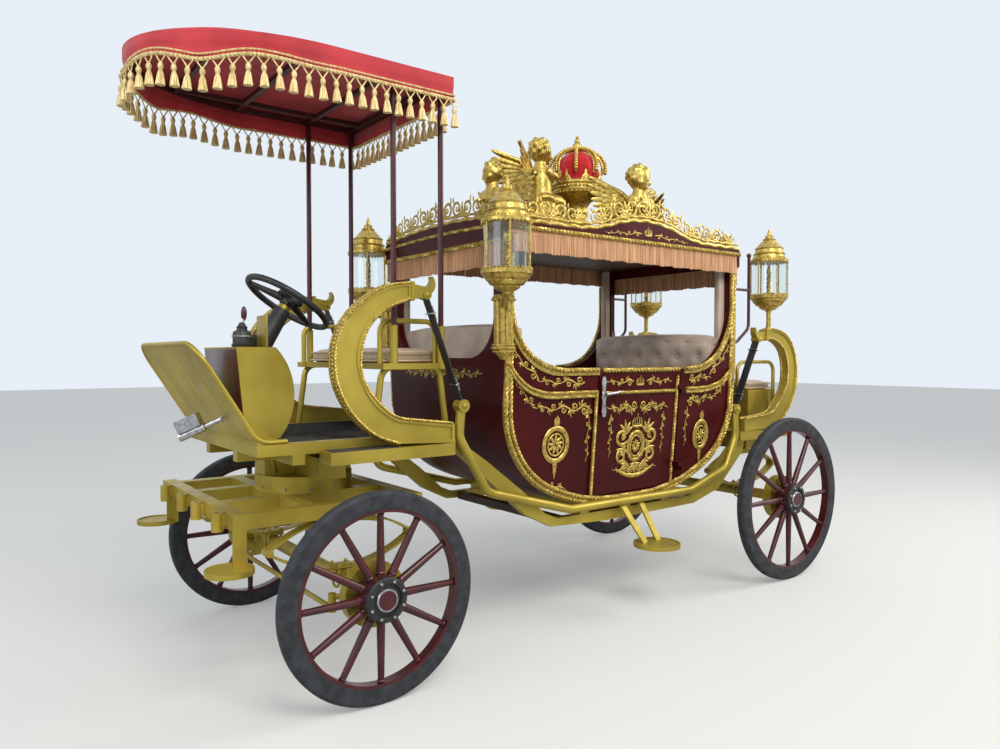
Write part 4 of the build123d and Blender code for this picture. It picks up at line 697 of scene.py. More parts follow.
canopy = add_primitive("circle", vertices=EDGE_POINTS, radius=1.0)
bpy.ops.object.mode_set(mode="EDIT")
for ring in range(VALANCE_RINGS + DOME_RINGS):
    bpy.ops.mesh.extrude_region_move(TRANSFORM_OT_translate={"value": (0, 0, 0.01)})
bpy.ops.mesh.edge_face_add()
bpy.ops.mesh.poke()
bpy.ops.object.mode_set(mode="OBJECT")
middle_x = (CANOPY_BACK + CANOPY_TURN + CANOPY_REACH * 0.6) / 2
for number in range(EDGE_POINTS):
    place, out, nose = canopy_edge(number / EDGE_POINTS)
    hem = valance_hem(nose)
    fold = math.sin(number * 0.55) * 0.5 + math.sin(number * 0.23 + 1.0) * 0.5
    for ring in range(VALANCE_RINGS + DOME_RINGS + 1):
        spot = canopy.data.vertices[ring * EDGE_POINTS + number]
        if ring <= VALANCE_RINGS:
            drop = 1 - ring / VALANCE_RINGS
            z = VALANCE_TOP - (VALANCE_TOP - VALANCE_LOW + hem) * drop
            away = 0.0035 * fold * drop - 0.007 * math.sin(math.pi * max(0.0, drop - 0.4) / 0.6) - 0.002
            spot.co = (place.x + out.x * away, place.y + out.y * away, z)
        else:
            share = 1 - (ring - VALANCE_RINGS) / (DOME_RINGS + 1)
            x = middle_x + (place.x - out.x * 0.002 - middle_x) * share
            y = (place.y - out.y * 0.002) * share
            sag = 0.0016 * math.sin(number * 0.16) * math.sin(math.pi * share)
            spot.co = (x, y, canopy_height(x, y) + sag)
centre = canopy.data.vertices[len(canopy.data.vertices) - 1]
centre.co = (middle_x, 0, canopy_height(middle_x, 0))
face_out(canopy)
apply_modifier(canopy, "SOLIDIFY", thickness=CLOTH_THICKNESS, offset=-1.0)
settle(canopy, "canopy_cloth_sheet", "canopy_cloth", angle=70)
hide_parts("canopy")

# %% [markdown]
# A gilt braid is sewn round the hem, and tassels hang from it. Each tassel is a cord in a V, a tied round
# head and a skirt of threads. One is modelled with its folds and then copied along the hem.

# %% The canopy's braid and tassels
hem_line = []
for number in range(EDGE_POINTS + 1):
    place, out, nose = canopy_edge((number % EDGE_POINTS) / EDGE_POINTS)
    hem_line.append((*(place + out * 0.003).to_2d(), VALANCE_LOW - valance_hem(nose)))
braid = rope([hem_line[::4] + [hem_line[0]]], 0.0085)
upper_line = [(x, y, z + 0.019) for x, y, z in hem_line[::4]]
braid = joined([braid, rope([upper_line + [upper_line[0]]], 0.004)])
settle(braid, "canopy_braid", "gold_silk")

TASSEL_SPACING = 0.055
TASSEL_CORD = 0.034
head = lathe([(0, 0.004), (0.005, 0.003), (0.0098, -0.004), (0.0110, -0.012), (0.0088, -0.021),
              (0.0062, -0.025), (0.0080, -0.028), (0.0070, -0.032), (0, -0.032)], steps=12)
skirt = lathe([(0, -0.030), (0.0078, -0.031), (0.0105, -0.040), (0.0140, -0.062), (0.0165, -0.080),
               (0, -0.077)], steps=24)
for number, spot in enumerate(skirt.data.vertices):
    reach = math.hypot(spot.co.x, spot.co.y)
    if reach > 0.006:
        ripple = 1 + 0.10 * math.cos(12 * math.atan2(spot.co.y, spot.co.x))
        spot.co.x *= ripple
        spot.co.y *= ripple
loops = bars([[(0, -0.024, TASSEL_CORD, 0.0028), (0, -0.010, 0.012, 0.0028), (0, 0, 0.0, 0.0032)],
              [(0, 0.024, TASSEL_CORD, 0.0028), (0, 0.010, 0.012, 0.0028), (0, 0, 0.0, 0.0032)]], sides=1,
              smooth=3)
tassel = joined([head, skirt, loops])
tassel_places = []
hem_spots = smooth_line([Vector(spot) for spot in hem_line], TASSEL_SPACING)
for here, there in zip(hem_spots, hem_spots[1:]):
    heading = (there - here).to_2d()
    turn = math.atan2(heading.y, heading.x) - math.pi / 2
    wobble = random.uniform(-0.05, 0.05)
    tassel_places.append(Matrix.Translation(here - Vector((0, 0, TASSEL_CORD + 0.002)))
                         @ Matrix.Rotation(turn, 4, "Z") @ Matrix.Rotation(wobble, 4, "X"))
settle(spread(tassel, tassel_places), "canopy_tassels", "gold_silk")
print("tassels:", len(tassel_places))

# %% [markdown]
# Ropes of gilt moulding trace the coach body: along its edge, round the window opening and along its waist.
# The body's own outline is four arcs between two upright ends, so the ropes follow the same arcs, a little
# inside. On the doors they are separate pieces, because they swing with the doors.

# %% The coach body's outline
HALF_LENGTH = 0.838
BOTTOM_ARC = 1.074
FRONT_ARC = 0.480
REAR_ARC = 0.400
FLAT = (-0.100, 0.097)


def arc_run(centre, radius, start, end, count):
    """Places along an arc, with its angles in degrees."""
    angles = [math.radians(start + (end - start) * number / count) for number in range(count + 1)]
    return [(centre[0] + radius * math.cos(angle), centre[1] + radius * math.sin(angle)) for angle in angles]


def body_line(inset, top):
    """The body's side outline from its front top, under the belly, to its rear top."""
    halves = []
    for side, end_arc, flat in ((1, FRONT_ARC, FLAT[1]), (-1, REAR_ARC, FLAT[0])):
        big, small = BOTTOM_ARC - inset, end_arc - inset
        across = HALF_LENGTH - end_arc - abs(flat)
        up = math.sqrt((big - small) ** 2 - across ** 2)
        tilt = math.degrees(math.asin(across / (big - small)))
        end_centre = (HALF_LENGTH - end_arc, BODY_BOTTOM + inset + big - up)
        belly_centre = (abs(flat), BODY_BOTTOM + inset + big)
        half = [(HALF_LENGTH - inset, top)] + arc_run(end_centre, small, 0, -90 + tilt, 14)
        half += arc_run(belly_centre, big, -90 + tilt, -90, 8)[1:]
        halves.append([(side * x, z) for x, z in half])
    return halves[0] + halves[1][::-1]


def on_wall(line, proud=0.0):
    """A line of (x, z) places laid on the coach body's side."""
    return [(body_x(x), wall_y(z) + proud, z) for x, z in line]


WALL_PROUD = 0.012
EDGE_ROPE = 0.012
FRINGE_FOOT = 1.772
inner_edge = body_line(0.036, FRINGE_FOOT)
outer_edge = body_line(0.012, FRINGE_FOOT)
inner_edge = [spot for spot in inner_edge if spot[0] < 0 or spot[1] > 0.560 or abs(spot[0]) > 0.334]
edge_ropes = rope([on_wall(outer_edge, 0.009), on_wall(inner_edge, WALL_PROUD)], EDGE_ROPE)
print("edge rope spots:", len(outer_edge))

# %% [markdown]
# The window's rope sits on the belt and sweeps up at both ends. The waist rope runs from end to end under
# it and sweeps up in the same way. Both are cut at the door.

# %% Window, waist and door ropes
DOOR_BACK, DOOR_EDGE = -0.375, 0.250
WINDOW_FRONT = [(0.262, 1.231), (0.380, 1.231), (0.499, 1.233), (0.590, 1.251), (0.662, 1.284),
                (0.716, 1.324), (0.762, 1.385), (0.792, 1.456), (0.806, 1.537), (0.808, 1.640),
                (0.808, FRINGE_FOOT)]
WINDOW_REAR = [(-0.398, 1.231), (-0.452, 1.233), (-0.540, 1.248), (-0.624, 1.282), (-0.692, 1.334),
               (-0.748, 1.412), (-0.784, 1.495), (-0.798, 1.579), (-0.798, 1.680), (-0.798, FRINGE_FOOT)]
WAIST_FRONT = [(0.262, 1.113), (0.420, 1.113), (0.560, 1.114), (0.648, 1.128), (0.718, 1.158), (0.780, 1.208),
               (0.826, 1.262)]
WAIST_REAR = [(-0.414, 1.113), (-0.552, 1.114), (-0.640, 1.126), (-0.714, 1.150), (-0.782, 1.200),
              (-0.828, 1.252)]
side_ropes = [(WINDOW_FRONT, 0.013), (WINDOW_REAR, 0.013)]
for waist in (WAIST_FRONT, WAIST_REAR):
    side_ropes.append(([(x, z + 0.010) for x, z in waist], 0.009))
    side_ropes.append(([(x, z - 0.012) for x, z in waist], 0.007))
side_ropes.append(([(0.264, 1.104), (0.264, 0.850), (0.264, 0.592)], 0.009))
made = [edge_ropes] + [rope([on_wall(line, WALL_PROUD)], radius) for line, radius in side_ropes]
settle_pair(joined(made), "body_ropes", "gilt_carving")

DOOR_ROPES = (
    # line, radius, how far it stands out
    ([(DOOR_BACK + 0.020, 1.228), (-0.060, 1.228), (DOOR_EDGE - 0.020, 1.228)], 0.013, 0.001),
    ([(DOOR_BACK + 0.048, 1.113), (-0.060, 1.113), (DOOR_EDGE - 0.052, 1.113)], 0.010, 0.003),
    ([(DOOR_BACK + 0.030, 1.196), (DOOR_BACK + 0.030, 0.900), (DOOR_BACK + 0.030, 0.612)], 0.010, 0.003),
)
door_rope = joined([rope([on_wall(line, proud)], radius) for line, radius, proud in DOOR_ROPES])
settle_pair(door_rope, "door_ropes", "gilt_carving", body="door")

# %% [markdown]
# The roof's edge has a rope too, low along the sides and lower still over both ends. Under it hangs the
# fringe: rows of twisted silk strands from a woven heading. One strand is modelled and copied round the
# roof.

# %% Roof ropes
ROOF_SIDE = 0.542
ROOF_END = 0.858
SIDE_ROPE_Z = 1.884
END_ROPE_Z = 1.820
ROOF_ROPE = 0.0125


def roof_run(start, end, z, radius=ROOF_ROPE, rise=0.0):
    """A rope between two places on the roof's edge, a little higher in the middle where rise is given."""
    middle = ((start[0] + end[0]) / 2, (start[1] + end[1]) / 2, z + rise)
    return rope([[(*start, z), middle, (*end, z)]], radius)


roof_ropes = [both_sides(roof_run((body_x(-ROOF_END), ROOF_SIDE), (body_x(ROOF_END), ROOF_SIDE),
                                  SIDE_ROPE_Z))]
for x in (body_x(-ROOF_END), body_x(ROOF_END)):
    roof_ropes.append(roof_run((x, -ROOF_SIDE), (x, ROOF_SIDE), END_ROPE_Z))
    roof_ropes.append(roof_run((x, -ROOF_SIDE), (x, ROOF_SIDE), SIDE_ROPE_Z + 0.006, 0.009, 0.012))
settle(joined(roof_ropes), "roof_ropes", "gilt_carving")

# %% [markdown]
# A strand is a thin cone, wider at its foot. Its swing and length are drawn from a fixed seed, so each run
# of the script hangs the same fringe.

# %% Fringe
STRAND = 0.0032
STRAND_STEP = 0.0068
FRINGE_SIDE_Y = 0.5375
FRINGE_END_X = 0.8535
FRINGE_DROP = 0.108
STRAND_RUNS = (
    # start, end, top
    ((-0.832, FRINGE_SIDE_Y), (0.832, FRINGE_SIDE_Y), 1.878),
    ((0.832, -FRINGE_SIDE_Y), (-0.832, -FRINGE_SIDE_Y), 1.878),
    ((FRINGE_END_X, 0.530), (FRINGE_END_X, -0.530), 1.814),
    ((-FRINGE_END_X, -0.530), (-FRINGE_END_X, 0.530), 1.814),
)
strand = add_primitive("cone", vertices=6, radius1=STRAND * 1.3, radius2=STRAND, depth=1.0,
                       location=(0, 0, -0.5))
bpy.ops.object.transform_apply(location=True, rotation=True, scale=True)
strand_places = []
heading_parts = []
for start, end, top in STRAND_RUNS:
    start, end = Vector(start), Vector(end)
    length = (end - start).length
    for number in range(int(length / STRAND_STEP) + 1):
        spot = start.lerp(end, min(1.0, number * STRAND_STEP / length))
        fall = FRINGE_DROP * (0.93 + 0.05 * random.random()) + 0.002 * math.sin(number * 0.35)
        swing = Matrix.Rotation(random.uniform(-0.02, 0.02), 4, "X")
        swing = swing @ Matrix.Rotation(random.uniform(-0.02, 0.02), 4, "Y")
        strand_places.append(moved(body_x(spot.x), spot.y, top) @ swing @ Matrix.Diagonal((1, 1, fall, 1)))
    line = [(body_x(start.x), start.y, top - 0.007), (body_x(end.x), end.y, top - 0.007)]
    lower = [(x, y, z - 0.012) for x, y, z in line]
    heading_parts += [rope([line], 0.0048, straight=True), rope([lower], 0.0042, straight=True)]
fringe = joined([spread(strand, strand_places), *heading_parts])
settle(fringe, "roof_fringe_strands", "tan_fringe")
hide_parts("roof_fringe")
print("strands:", len(strand_places))

# %% [markdown]
# Cushions come next. A real seat pad is a cover sewn from flat panels and blown tight by its filling, so
# its faces crown, its sides pull in between the corners, and a piped seam runs round it. A block a little
# smaller than the pad is remeshed into even cells, and Blender's cloth solver inflates it. A cap on how far
# each point may move keeps it in its place. The piping is laid round afterwards, because a remesh would
# swallow it.

# %% Helper for inflated cushions
PAD_CELL = 0.013
PAD_FRAMES = 18
PAD_ROUNDING = 0.35


def bevelled_box(low, high, width, segments=4, **settings):
    """A box between two corners, with its edges rounded."""
    low, high = Vector(low), Vector(high)
    piece = add_primitive("cube", size=1.0, location=(low + high) / 2)
    piece.scale = high - low
    bpy.ops.object.transform_apply(location=True, rotation=True, scale=True)
    apply_modifier(piece, "BEVEL", width=width, segments=segments, **settings)
    return piece


def pad_block(low, high, corner=0.030):
    """A block with rounded edges, at most about a third of its height, between two corners."""
    height = Vector(high).z - Vector(low).z
    return bevelled_box(low, high, min(corner, height * PAD_ROUNDING), limit_method="NONE")


def inflate(piece, pressure=4.0, cap=0.010):
    """Swell a closed piece by cloth pressure, no point moving further than the cap."""
    apply_modifier(piece, "REMESH", mode="VOXEL", voxel_size=PAD_CELL)
    before = [spot.co.copy() for spot in piece.data.vertices]
    cloth = piece.modifiers.new("cloth", "CLOTH")
    cloth.settings.use_pressure = True
    cloth.settings.uniform_pressure_force = pressure
    cloth.settings.effector_weights.gravity = 0.0
    cloth.settings.quality = 4
    cloth.collision_settings.use_collision = False
    scene = bpy.context.scene
    for frame_number in range(1, PAD_FRAMES + 1):
        scene.frame_set(frame_number)
    only(piece)
    bpy.ops.object.modifier_apply(modifier="cloth")
    scene.frame_set(1)
    for spot, start in zip(piece.data.vertices, before):
        shift = spot.co - start
        if shift.length > cap:
            spot.co = start + shift.normalized() * cap
    return piece


def piping(low, high, z, radius=0.0045, corner=0.028, inset=0.004):
    """A piped seam round a pad at a height."""
    spots = []
    for x, y, start in ((high.x, high.y, 0), (low.x, high.y, 90), (low.x, low.y, 180), (high.x, low.y, 270)):
        side_x = 1 if x == high.x else -1
        side_y = 1 if y == high.y else -1
        centre = (x - side_x * (corner + inset), y - side_y * (corner + inset))
        spots += [(*spot, z, radius) for spot in arc_run(centre, corner, start, start + 90, 6)]
    return bars([spots + [spots[0]]], sides=2, smooth=False)


# %% [markdown]
# The driver's and the footman's cushions are plain champagne pads. Both lie on their benches and bulge a
# little over the front edge.

# %% Driver's and footman's cushions
SWELL = 0.008
for node_name, new_name in (("driver_cushion", "driver_seat_pad"), ("footman_cushion", "footman_seat_pad")):
    low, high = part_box(node_name)
    inner_low = (low.x + SWELL, low.y + SWELL, low.z + 0.002)
    inner_high = (high.x - SWELL, high.y - SWELL, high.z - SWELL * 0.6)
    pad = inflate(pad_block(inner_low, inner_high))
    for spot in pad.data.vertices:
        spot.co.z = max(spot.co.z, low.z)
        across = (spot.co.y - low.y) / (high.y - low.y)
        along = (spot.co.x - low.x) / (high.x - low.x)
        if spot.co.z > (low.z + high.z) / 2:
            crown = math.sin(math.pi * across) ** 0.4 * math.sin(math.pi * max(0.0, min(1.0, along))) ** 0.5
            spot.co.z = min(high.z + 0.008, spot.co.z - 0.006 + 0.010 * crown)
    pad = joined([pad, piping(low, high, low.z + 0.010), piping(low, high, high.z - 0.013)])
    settle(pad, new_name, "pale_leather", angle=60)
    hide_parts(node_name)

# %% [markdown]
# The coach's seats are buttoned in staggered rows: deep-set buttons pull the leather in, and it swells
# between each button to its four neighbours. The depth between buttons follows a simple rule, a rounded
# hill over every diamond that falls to a crease along its sides, so a fine grid is pushed in by that rule.

# %% Helper for buttoned leather
BUTTON_PITCH = 0.155
BUTTON_ROW = 0.095
TUFT_DEPTH = 0.024
TUFT_WIDTH = 0.030
TUFT_MARGIN = 0.035
PANEL_CELL = 0.010


def tuft_rise(u, v):
    """The leather's height from 0 at a button to 1 between them, at a place measured in metres."""
    across, up = u / BUTTON_PITCH, v / BUTTON_ROW
    even = math.hypot((across - round(across)) * BUTTON_PITCH, (up - 2 * round(up / 2)) * BUTTON_ROW)
    odd = math.hypot((across - math.floor(across) - 0.5) * BUTTON_PITCH,
                     (up - 2 * math.floor(up / 2) - 1) * BUTTON_ROW)
    return 1 - math.exp(-(min(even, odd) / TUFT_WIDTH) ** 2)


def buttoned_panel(low, high, facing):
    """A closed pad between two corners, buttoned on the face that looks along +X or -X."""
    low, high = Vector(low), Vector(high)
    middle, size = (low + high) / 2, high - low
    rear = low.x if facing > 0 else high.x

    def placed(u, v, thickness):
        """A place across, up and out of the panel."""
        return rear + facing * thickness, middle.y + u, middle.z + v

    piece = add_primitive("grid", x_subdivisions=round(size.y / PANEL_CELL),
                          y_subdivisions=round(size.z / PANEL_CELL), size=1.0)
    bpy.ops.object.mode_set(mode="EDIT")
    bpy.ops.mesh.extrude_region_move(TRANSFORM_OT_translate={"value": (0, 0, 0.5)})
    bpy.ops.object.mode_set(mode="OBJECT")
    for spot in piece.data.vertices:
        u, v = spot.co.x, spot.co.y
        outer = 0.0
        if spot.co.z > 0.25:
            near = min(1.0, min((0.5 - abs(u)) * size.y, (0.5 - abs(v)) * size.z) / 0.055)
            rise = near ** 0.5 * (0.35 + 0.65 * tuft_rise(u * size.y, v * size.z)) * TUFT_DEPTH
            outer = size.x - TUFT_DEPTH + rise
        spot.co = placed(u * size.y, v * size.z, outer)
    face_out(piece)
    button = add_primitive("uv_sphere", segments=10, ring_count=6, radius=0.010)
    places = []
    rows = int(size.z / BUTTON_ROW / 2) + 1
    columns = int(size.y / BUTTON_PITCH / 2) + 1
    for row in range(-2 * rows, 2 * rows + 1):
        for column in range(-2 * columns, 2 * columns + 1):
            u, v = column * BUTTON_PITCH / 2, row * BUTTON_ROW
            inside = abs(u) <= size.y / 2 - TUFT_MARGIN and abs(v) <= size.z / 2 - TUFT_MARGIN
            if inside and (row + column) % 2 == 0:
                places.append(moved(*placed(u, v, size.x - TUFT_DEPTH * 0.66))
                              @ Matrix.Diagonal((0.6, 1, 1, 1)))
    return joined([piece, spread(button, places)])


# %% [markdown]
# Each seat has a plain inflated cushion and a buttoned back. The rear back stands a little lower than the
# front one, and both fill the width between the walls.

# %% The coach's seats
SEAT_TOP = 0.980
SEAT_FOOT = 0.884
RAIL_SPOTS = (-0.466, -0.45, -0.3, 0, 0.3, 0.45, 0.466)


def between(side, near, far):
    """Two places along X, near and far from the body's middle on one side, the rearmost first."""
    return sorted((body_x(side * near), body_x(side * far)))


for node_name, side in (("rear_seat", -1), ("front_seat", 1)):
    low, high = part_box(node_name)
    x_low, x_high = between(side, 0.362 + SWELL, 0.690)
    narrow = wall_y(0.93) - 0.045
    pad = inflate(pad_block((x_low, -narrow, SEAT_FOOT), (x_high, narrow, SEAT_TOP - SWELL)))
    for spot in pad.data.vertices:
        spot.co.z = min(max(spot.co.z, SEAT_FOOT - 0.003), SEAT_TOP + 0.006)
    x_low, x_high = between(side, 0.672, 0.796)
    back = buttoned_panel((x_low, low.y + 0.004, SEAT_TOP + 0.002), (x_high, high.y - 0.004, high.z), -side)
    for spot in back.data.vertices:
        limit = wall_y(spot.co.z) - 0.038
        spot.co.y = max(-limit, min(limit, spot.co.y))
        if spot.co.z > high.z - 0.05:
            spot.co.z -= 0.014 * (spot.co.y / limit) ** 4
    rail = bars([[((x_low + x_high) / 2 - 0.010 * side, y, high.z - 0.022 - 0.014 * (y / 0.47) ** 4,
                   0.040 if abs(y) < 0.46 else 0.030) for y in RAIL_SPOTS]], sides=4)
    for part, name in ((pad, "_cushion"), (joined([back, rail]), "_back")):
        settle(part, node_name + name, "tan_leather", angle=60)
        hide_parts(node_name)

# %% [markdown]
# The crown stands in the middle of the roof on a turned pedestal. A red velvet cap fills it, a gilt band
# with leaf-shaped points runs round its foot, and beaded ribs meet under a stack of beads. The band and
# pedestal are turned, the beads are small balls set along each rib, and a point is modelled once and copied
# round the band.

# %% The crown
CROWN_X = body_x(-0.084)
CROWN_BASE = 2.227
CROWN_RADIUS = 0.138
stand = lathe([(0, 1.936), (0.166, 1.936), (0.168, 1.948), (0.152, 1.956), (0.150, 1.984), (0.128, 1.998),
               (0.096, 2.036), (0.080, 2.044), (0.078, 2.054), (0.060, 2.070), (0.054, 2.104),
               (0.064, 2.114), (0.062, 2.124), (0.060, 2.150), (0.078, 2.176), (0.112, 2.196),
               (0.128, 2.206), (0.142, 2.214), (0.146, 2.226), (0.138, 2.234), (0.138, 2.262),
               (0.146, 2.268), (0.146, 2.280), (0.136, 2.288), (0.126, 2.280), (0.126, 2.240),
               (0, 2.240)], (CROWN_X, 0, 0), steps=48)
crown_parts = [stand]
bead = add_primitive("uv_sphere", segments=10, ring_count=6, radius=1.0)
bead_places = []
RIBS = 8
for angle, _, _ in ring_of(RIBS):
    turn = moved(CROWN_X, 0, 0) @ Matrix.Rotation(angle, 4, "Z")
    line = []
    for number in range(13):
        angle = math.radians(-8 + 98 * number / 12)
        bulge = CROWN_RADIUS + 0.012 * math.sin(math.pi * number / 12)
        line.append((bulge * math.cos(angle), 0, CROWN_BASE + 0.118 + 0.134 * math.sin(angle), 0.0075))
    rib_bar = bars([line], sides=2, smooth=2)
    rib_bar.data.transform(turn)
    crown_parts.append(rib_bar)
    for number in range(17):
        angle = math.radians(-2 + 88 * number / 16)
        bulge = CROWN_RADIUS + 0.020 + 0.012 * math.sin(math.pi * number / 16)
        size = 0.0115 - 0.0035 * number / 16
        place = Vector((bulge * math.cos(angle), 0, CROWN_BASE + 0.118 + 0.140 * math.sin(angle)))
        bead_places.append(turn @ Matrix.Translation(place) @ Matrix.Scale(size, 4))
for _, x, y in ring_of(40):
    for z, reach, size in ((2.251, 0.141, 0.0075), (2.216, 0.150, 0.006)):
        bead_places.append(moved(CROWN_X + reach * x, reach * y, z) @ Matrix.Scale(size, 4))
for z, size in ((2.492, 0.030), (2.526, 0.016), (2.548, 0.010)):
    bead_places.append(moved(CROWN_X, 0, z) @ Matrix.Scale(size, 4))
crown_parts.append(spread(bead, bead_places))
point = bars([[(0, -0.022, 0, 0.007), (0, -0.014, 0.022, 0.010), (0, 0, 0.030, 0.012),
               (0, 0.014, 0.022, 0.010),
               (0, 0.022, 0, 0.007)], [(0, 0, 0.0, 0.010), (0, 0, 0.040, 0.014), (0, 0, 0.062, 0.003)]],
             sides=1, smooth=3)
point_places = [moved(CROWN_X, 0, CROWN_BASE + 0.050) @ Matrix.Rotation(angle, 4, "Z")
                @ moved(CROWN_RADIUS + 0.002, 0, 0) @ Matrix.Diagonal((0.6, 1, 1, 1))
                for angle, _, _ in ring_of(RIBS, offset=0.5)]
crown_parts.append(spread(point, point_places))
crown = joined(crown_parts)
settle(crown, "crown_gilt", "gilt_carving")
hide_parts("roof_crown")

# %% [markdown]
# The velvet cap swells between the ribs. A ball is flattened a little and pulled in along eight lines.

# %% The velvet cap
cap = lathe([(0, 2.242), (0.110, 2.244), (0.122, 2.268), (0.126, 2.300), (0.127, 2.340), (0.120, 2.380),
             (0.102, 2.416), (0.074, 2.444), (0.040, 2.460), (0, 2.466)], (CROWN_X, 0, 0), steps=64)
apply_modifier(cap, "SUBSURF", levels=1, render_levels=1)
for spot in cap.data.vertices:
    x, y = spot.co.x - CROWN_X, spot.co.y
    groove = 1 - 0.050 * abs(math.cos(RIBS / 2 * math.atan2(y, x))) ** 8
    spot.co.x = CROWN_X + x * groove
    spot.co.y = y * groove
settle(cap, "crown_velvet", "red_velvet", angle=80)
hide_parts("crown_cap")

# %% [markdown]
# Five winged children stand on the roof. Each is carved wood under gilt: soft rounded masses that run into
# each other. Balls and tapered bars are set out like a clay sketch and remeshed into one skin, and a
# smoothing pass rounds the joins. The curls and the features of the face are small masses of their own, so
# that the remesh keeps them. The faces are the carver's usual calm, round ones.

# %% A winged child
SKIN_CELL = 0.0066


def ball(place, size, segments=20):
    """A ball or an egg at a place."""
    piece = add_primitive("uv_sphere", segments=segments, ring_count=max(5, segments * 2 // 3), radius=1.0)
    if not isinstance(size, tuple):
        size = (size, size, size)
    piece.data.transform(Matrix.Translation(place) @ Matrix.Diagonal((*size, 1)))
    return piece


BODY = ((0, 0, -0.05, 0.030), (0, 0, -0.10, 0.046), (0, 0, -0.15, 0.068), (0, 0, -0.21, 0.062),
        (0, 0, -0.26, 0.078), (0, 0, -0.30, 0.080))
LIMBS = {
    # whether the child reaches out: its left arm and its left leg, as x, y, z and radius
    True: (((0.004, 0.052, -0.104, 0.026), (0.036, 0.074, -0.138, 0.024), (0.064, 0.066, -0.146, 0.019),
            (0.094, 0.048, -0.118, 0.015), (0.116, 0.034, -0.094, 0.014)),
           ((0.0, 0.042, -0.275, 0.046), (0.062, 0.052, -0.268, 0.042), (0.118, 0.052, -0.262, 0.033),
            (0.086, 0.056, -0.300, 0.028), (0.036, 0.058, -0.322, 0.023))),
    False: (((0.004, 0.054, -0.104, 0.026), (0.022, 0.084, -0.146, 0.024), (0.046, 0.078, -0.172, 0.019),
             (0.078, 0.034, -0.166, 0.015), (0.086, 0.014, -0.160, 0.014)),
            ((0.0, 0.042, -0.285, 0.046), (0.052, 0.054, -0.280, 0.042), (0.088, 0.052, -0.300, 0.033),
             (0.060, 0.046, -0.326, 0.026))),
}
MASSES = (
    # place, size: head, cheeks and chin, nose, mouth, chin, belly
    ((0, 0, 0.004), (0.062, 0.057, 0.064)), ((0.024, 0, -0.030), (0.036, 0.037, 0.030)),
    ((0.056, 0, -0.012), (0.0105, 0.0080, 0.0100)), ((0.052, 0, -0.034), (0.010, 0.014, 0.0045)),
    ((0.046, 0, -0.052), (0.014, 0.014, 0.011)), ((0.014, 0, -0.198), (0.056, 0.054, 0.050)),
)
SIDE_MASSES = (
    # place, size: cheek, brow, ear
    ((0.040, 0.027, -0.026), (0.018, 0.017, 0.017)), ((0.051, 0.019, 0.012), (0.008, 0.013, 0.0045)),
    ((0.004, 0.058, -0.004), (0.010, 0.006, 0.015)),
)
CURLS = 38
GOLDEN_TURN = 2.39996
FEATHERS = (
    # feathers, length, width, how far they fan, distance down the wing
    (9, 0.250, 0.020, 62, 0.000), (8, 0.180, 0.020, 58, 0.012), (6, 0.110, 0.022, 52, 0.020),
)
WING_EDGE = ((-0.046, 0.030, -0.128, 0.020), (-0.048, 0.062, -0.082, 0.018), (-0.052, 0.120, -0.052, 0.014),
             (-0.060, 0.190, -0.030, 0.011), (-0.070, 0.262, -0.004, 0.006))


def child(reaches):
    """A winged child facing +X, with its head's centre at the origin, in metres."""
    lines = [BODY]
    for side in (-1, 1):
        lines += [[(x, side * y, z, radius) for x, y, z, radius in limb] for limb in LIMBS[reaches]]
    masses = [bars(lines, sides=4, smooth=6)]
    masses += [ball(place, size) for place, size in MASSES]
    for side in (-1, 1):
        masses += [ball((x, side * y, z), size) for (x, y, z), size in SIDE_MASSES]
    for number in range(CURLS):
        level = 1 - 2 * (number + 0.5) / CURLS
        around = number * GOLDEN_TURN
        reach = math.sqrt(max(0.0, 1 - level * level))
        place = Vector((0.055 * reach * math.cos(around) - 0.008, 0.055 * reach * math.sin(around),
                        0.060 * level + 0.014))
        if place.z < -0.018 or (place.x > 0.020 and place.z < 0.034):
            continue
        masses.append(ball(place, 0.0155 + 0.003 * math.sin(number * 1.7)))
    lap = []
    for number in range(9):
        angle = math.radians(-130 + 260 * number / 8)
        lap.append((0.070 * math.cos(angle), 0.082 * math.sin(angle),
                    -0.262 + 0.012 * math.sin(number * 2.1), 0.020))
    sash = [(0.058, -0.058, -0.110, 0.010), (0.074, 0.0, -0.168, 0.015), (0.050, 0.070, -0.226, 0.013)]
    masses.append(bars([lap, sash], sides=3, smooth=6))
    body = joined(masses)
    apply_modifier(body, "REMESH", mode="VOXEL", voxel_size=SKIN_CELL)
    apply_modifier(body, "SMOOTH", factor=0.5, iterations=3)
    sweep = 50 if reaches else 14
    feathers = []
    for count, length, width, fan, down in FEATHERS:
        for number in range(count):
            share = number / (count - 1)
            turn = math.radians(24 - fan * share)
            reach = length * (1 - 0.42 * share)
            root = Vector((-0.052 + down * 0.7, 0.040 + 0.024 * share, -0.098 - 0.052 * share))
            way = Vector((-0.10, math.cos(turn), math.sin(turn))).normalized()
            line = [(*(root + way * reach * t), width * w)
                    for t, w in ((0.0, 0.45), (0.35, 0.95), (0.75, 1.0), (0.95, 0.6), (1.0, 0.15))]
            feathers.append(line)
    wing = bars(feathers, sides=1, smooth=3)
    for spot in wing.data.vertices:
        spot.co.x = -0.050 + (spot.co.x + 0.050) * 0.42
    wing = joined([wing, bars([WING_EDGE], sides=3, smooth=6)])
    wing.data.transform(turned(sweep, "Z"))
    return joined([body, wing, mirrored(wing)])


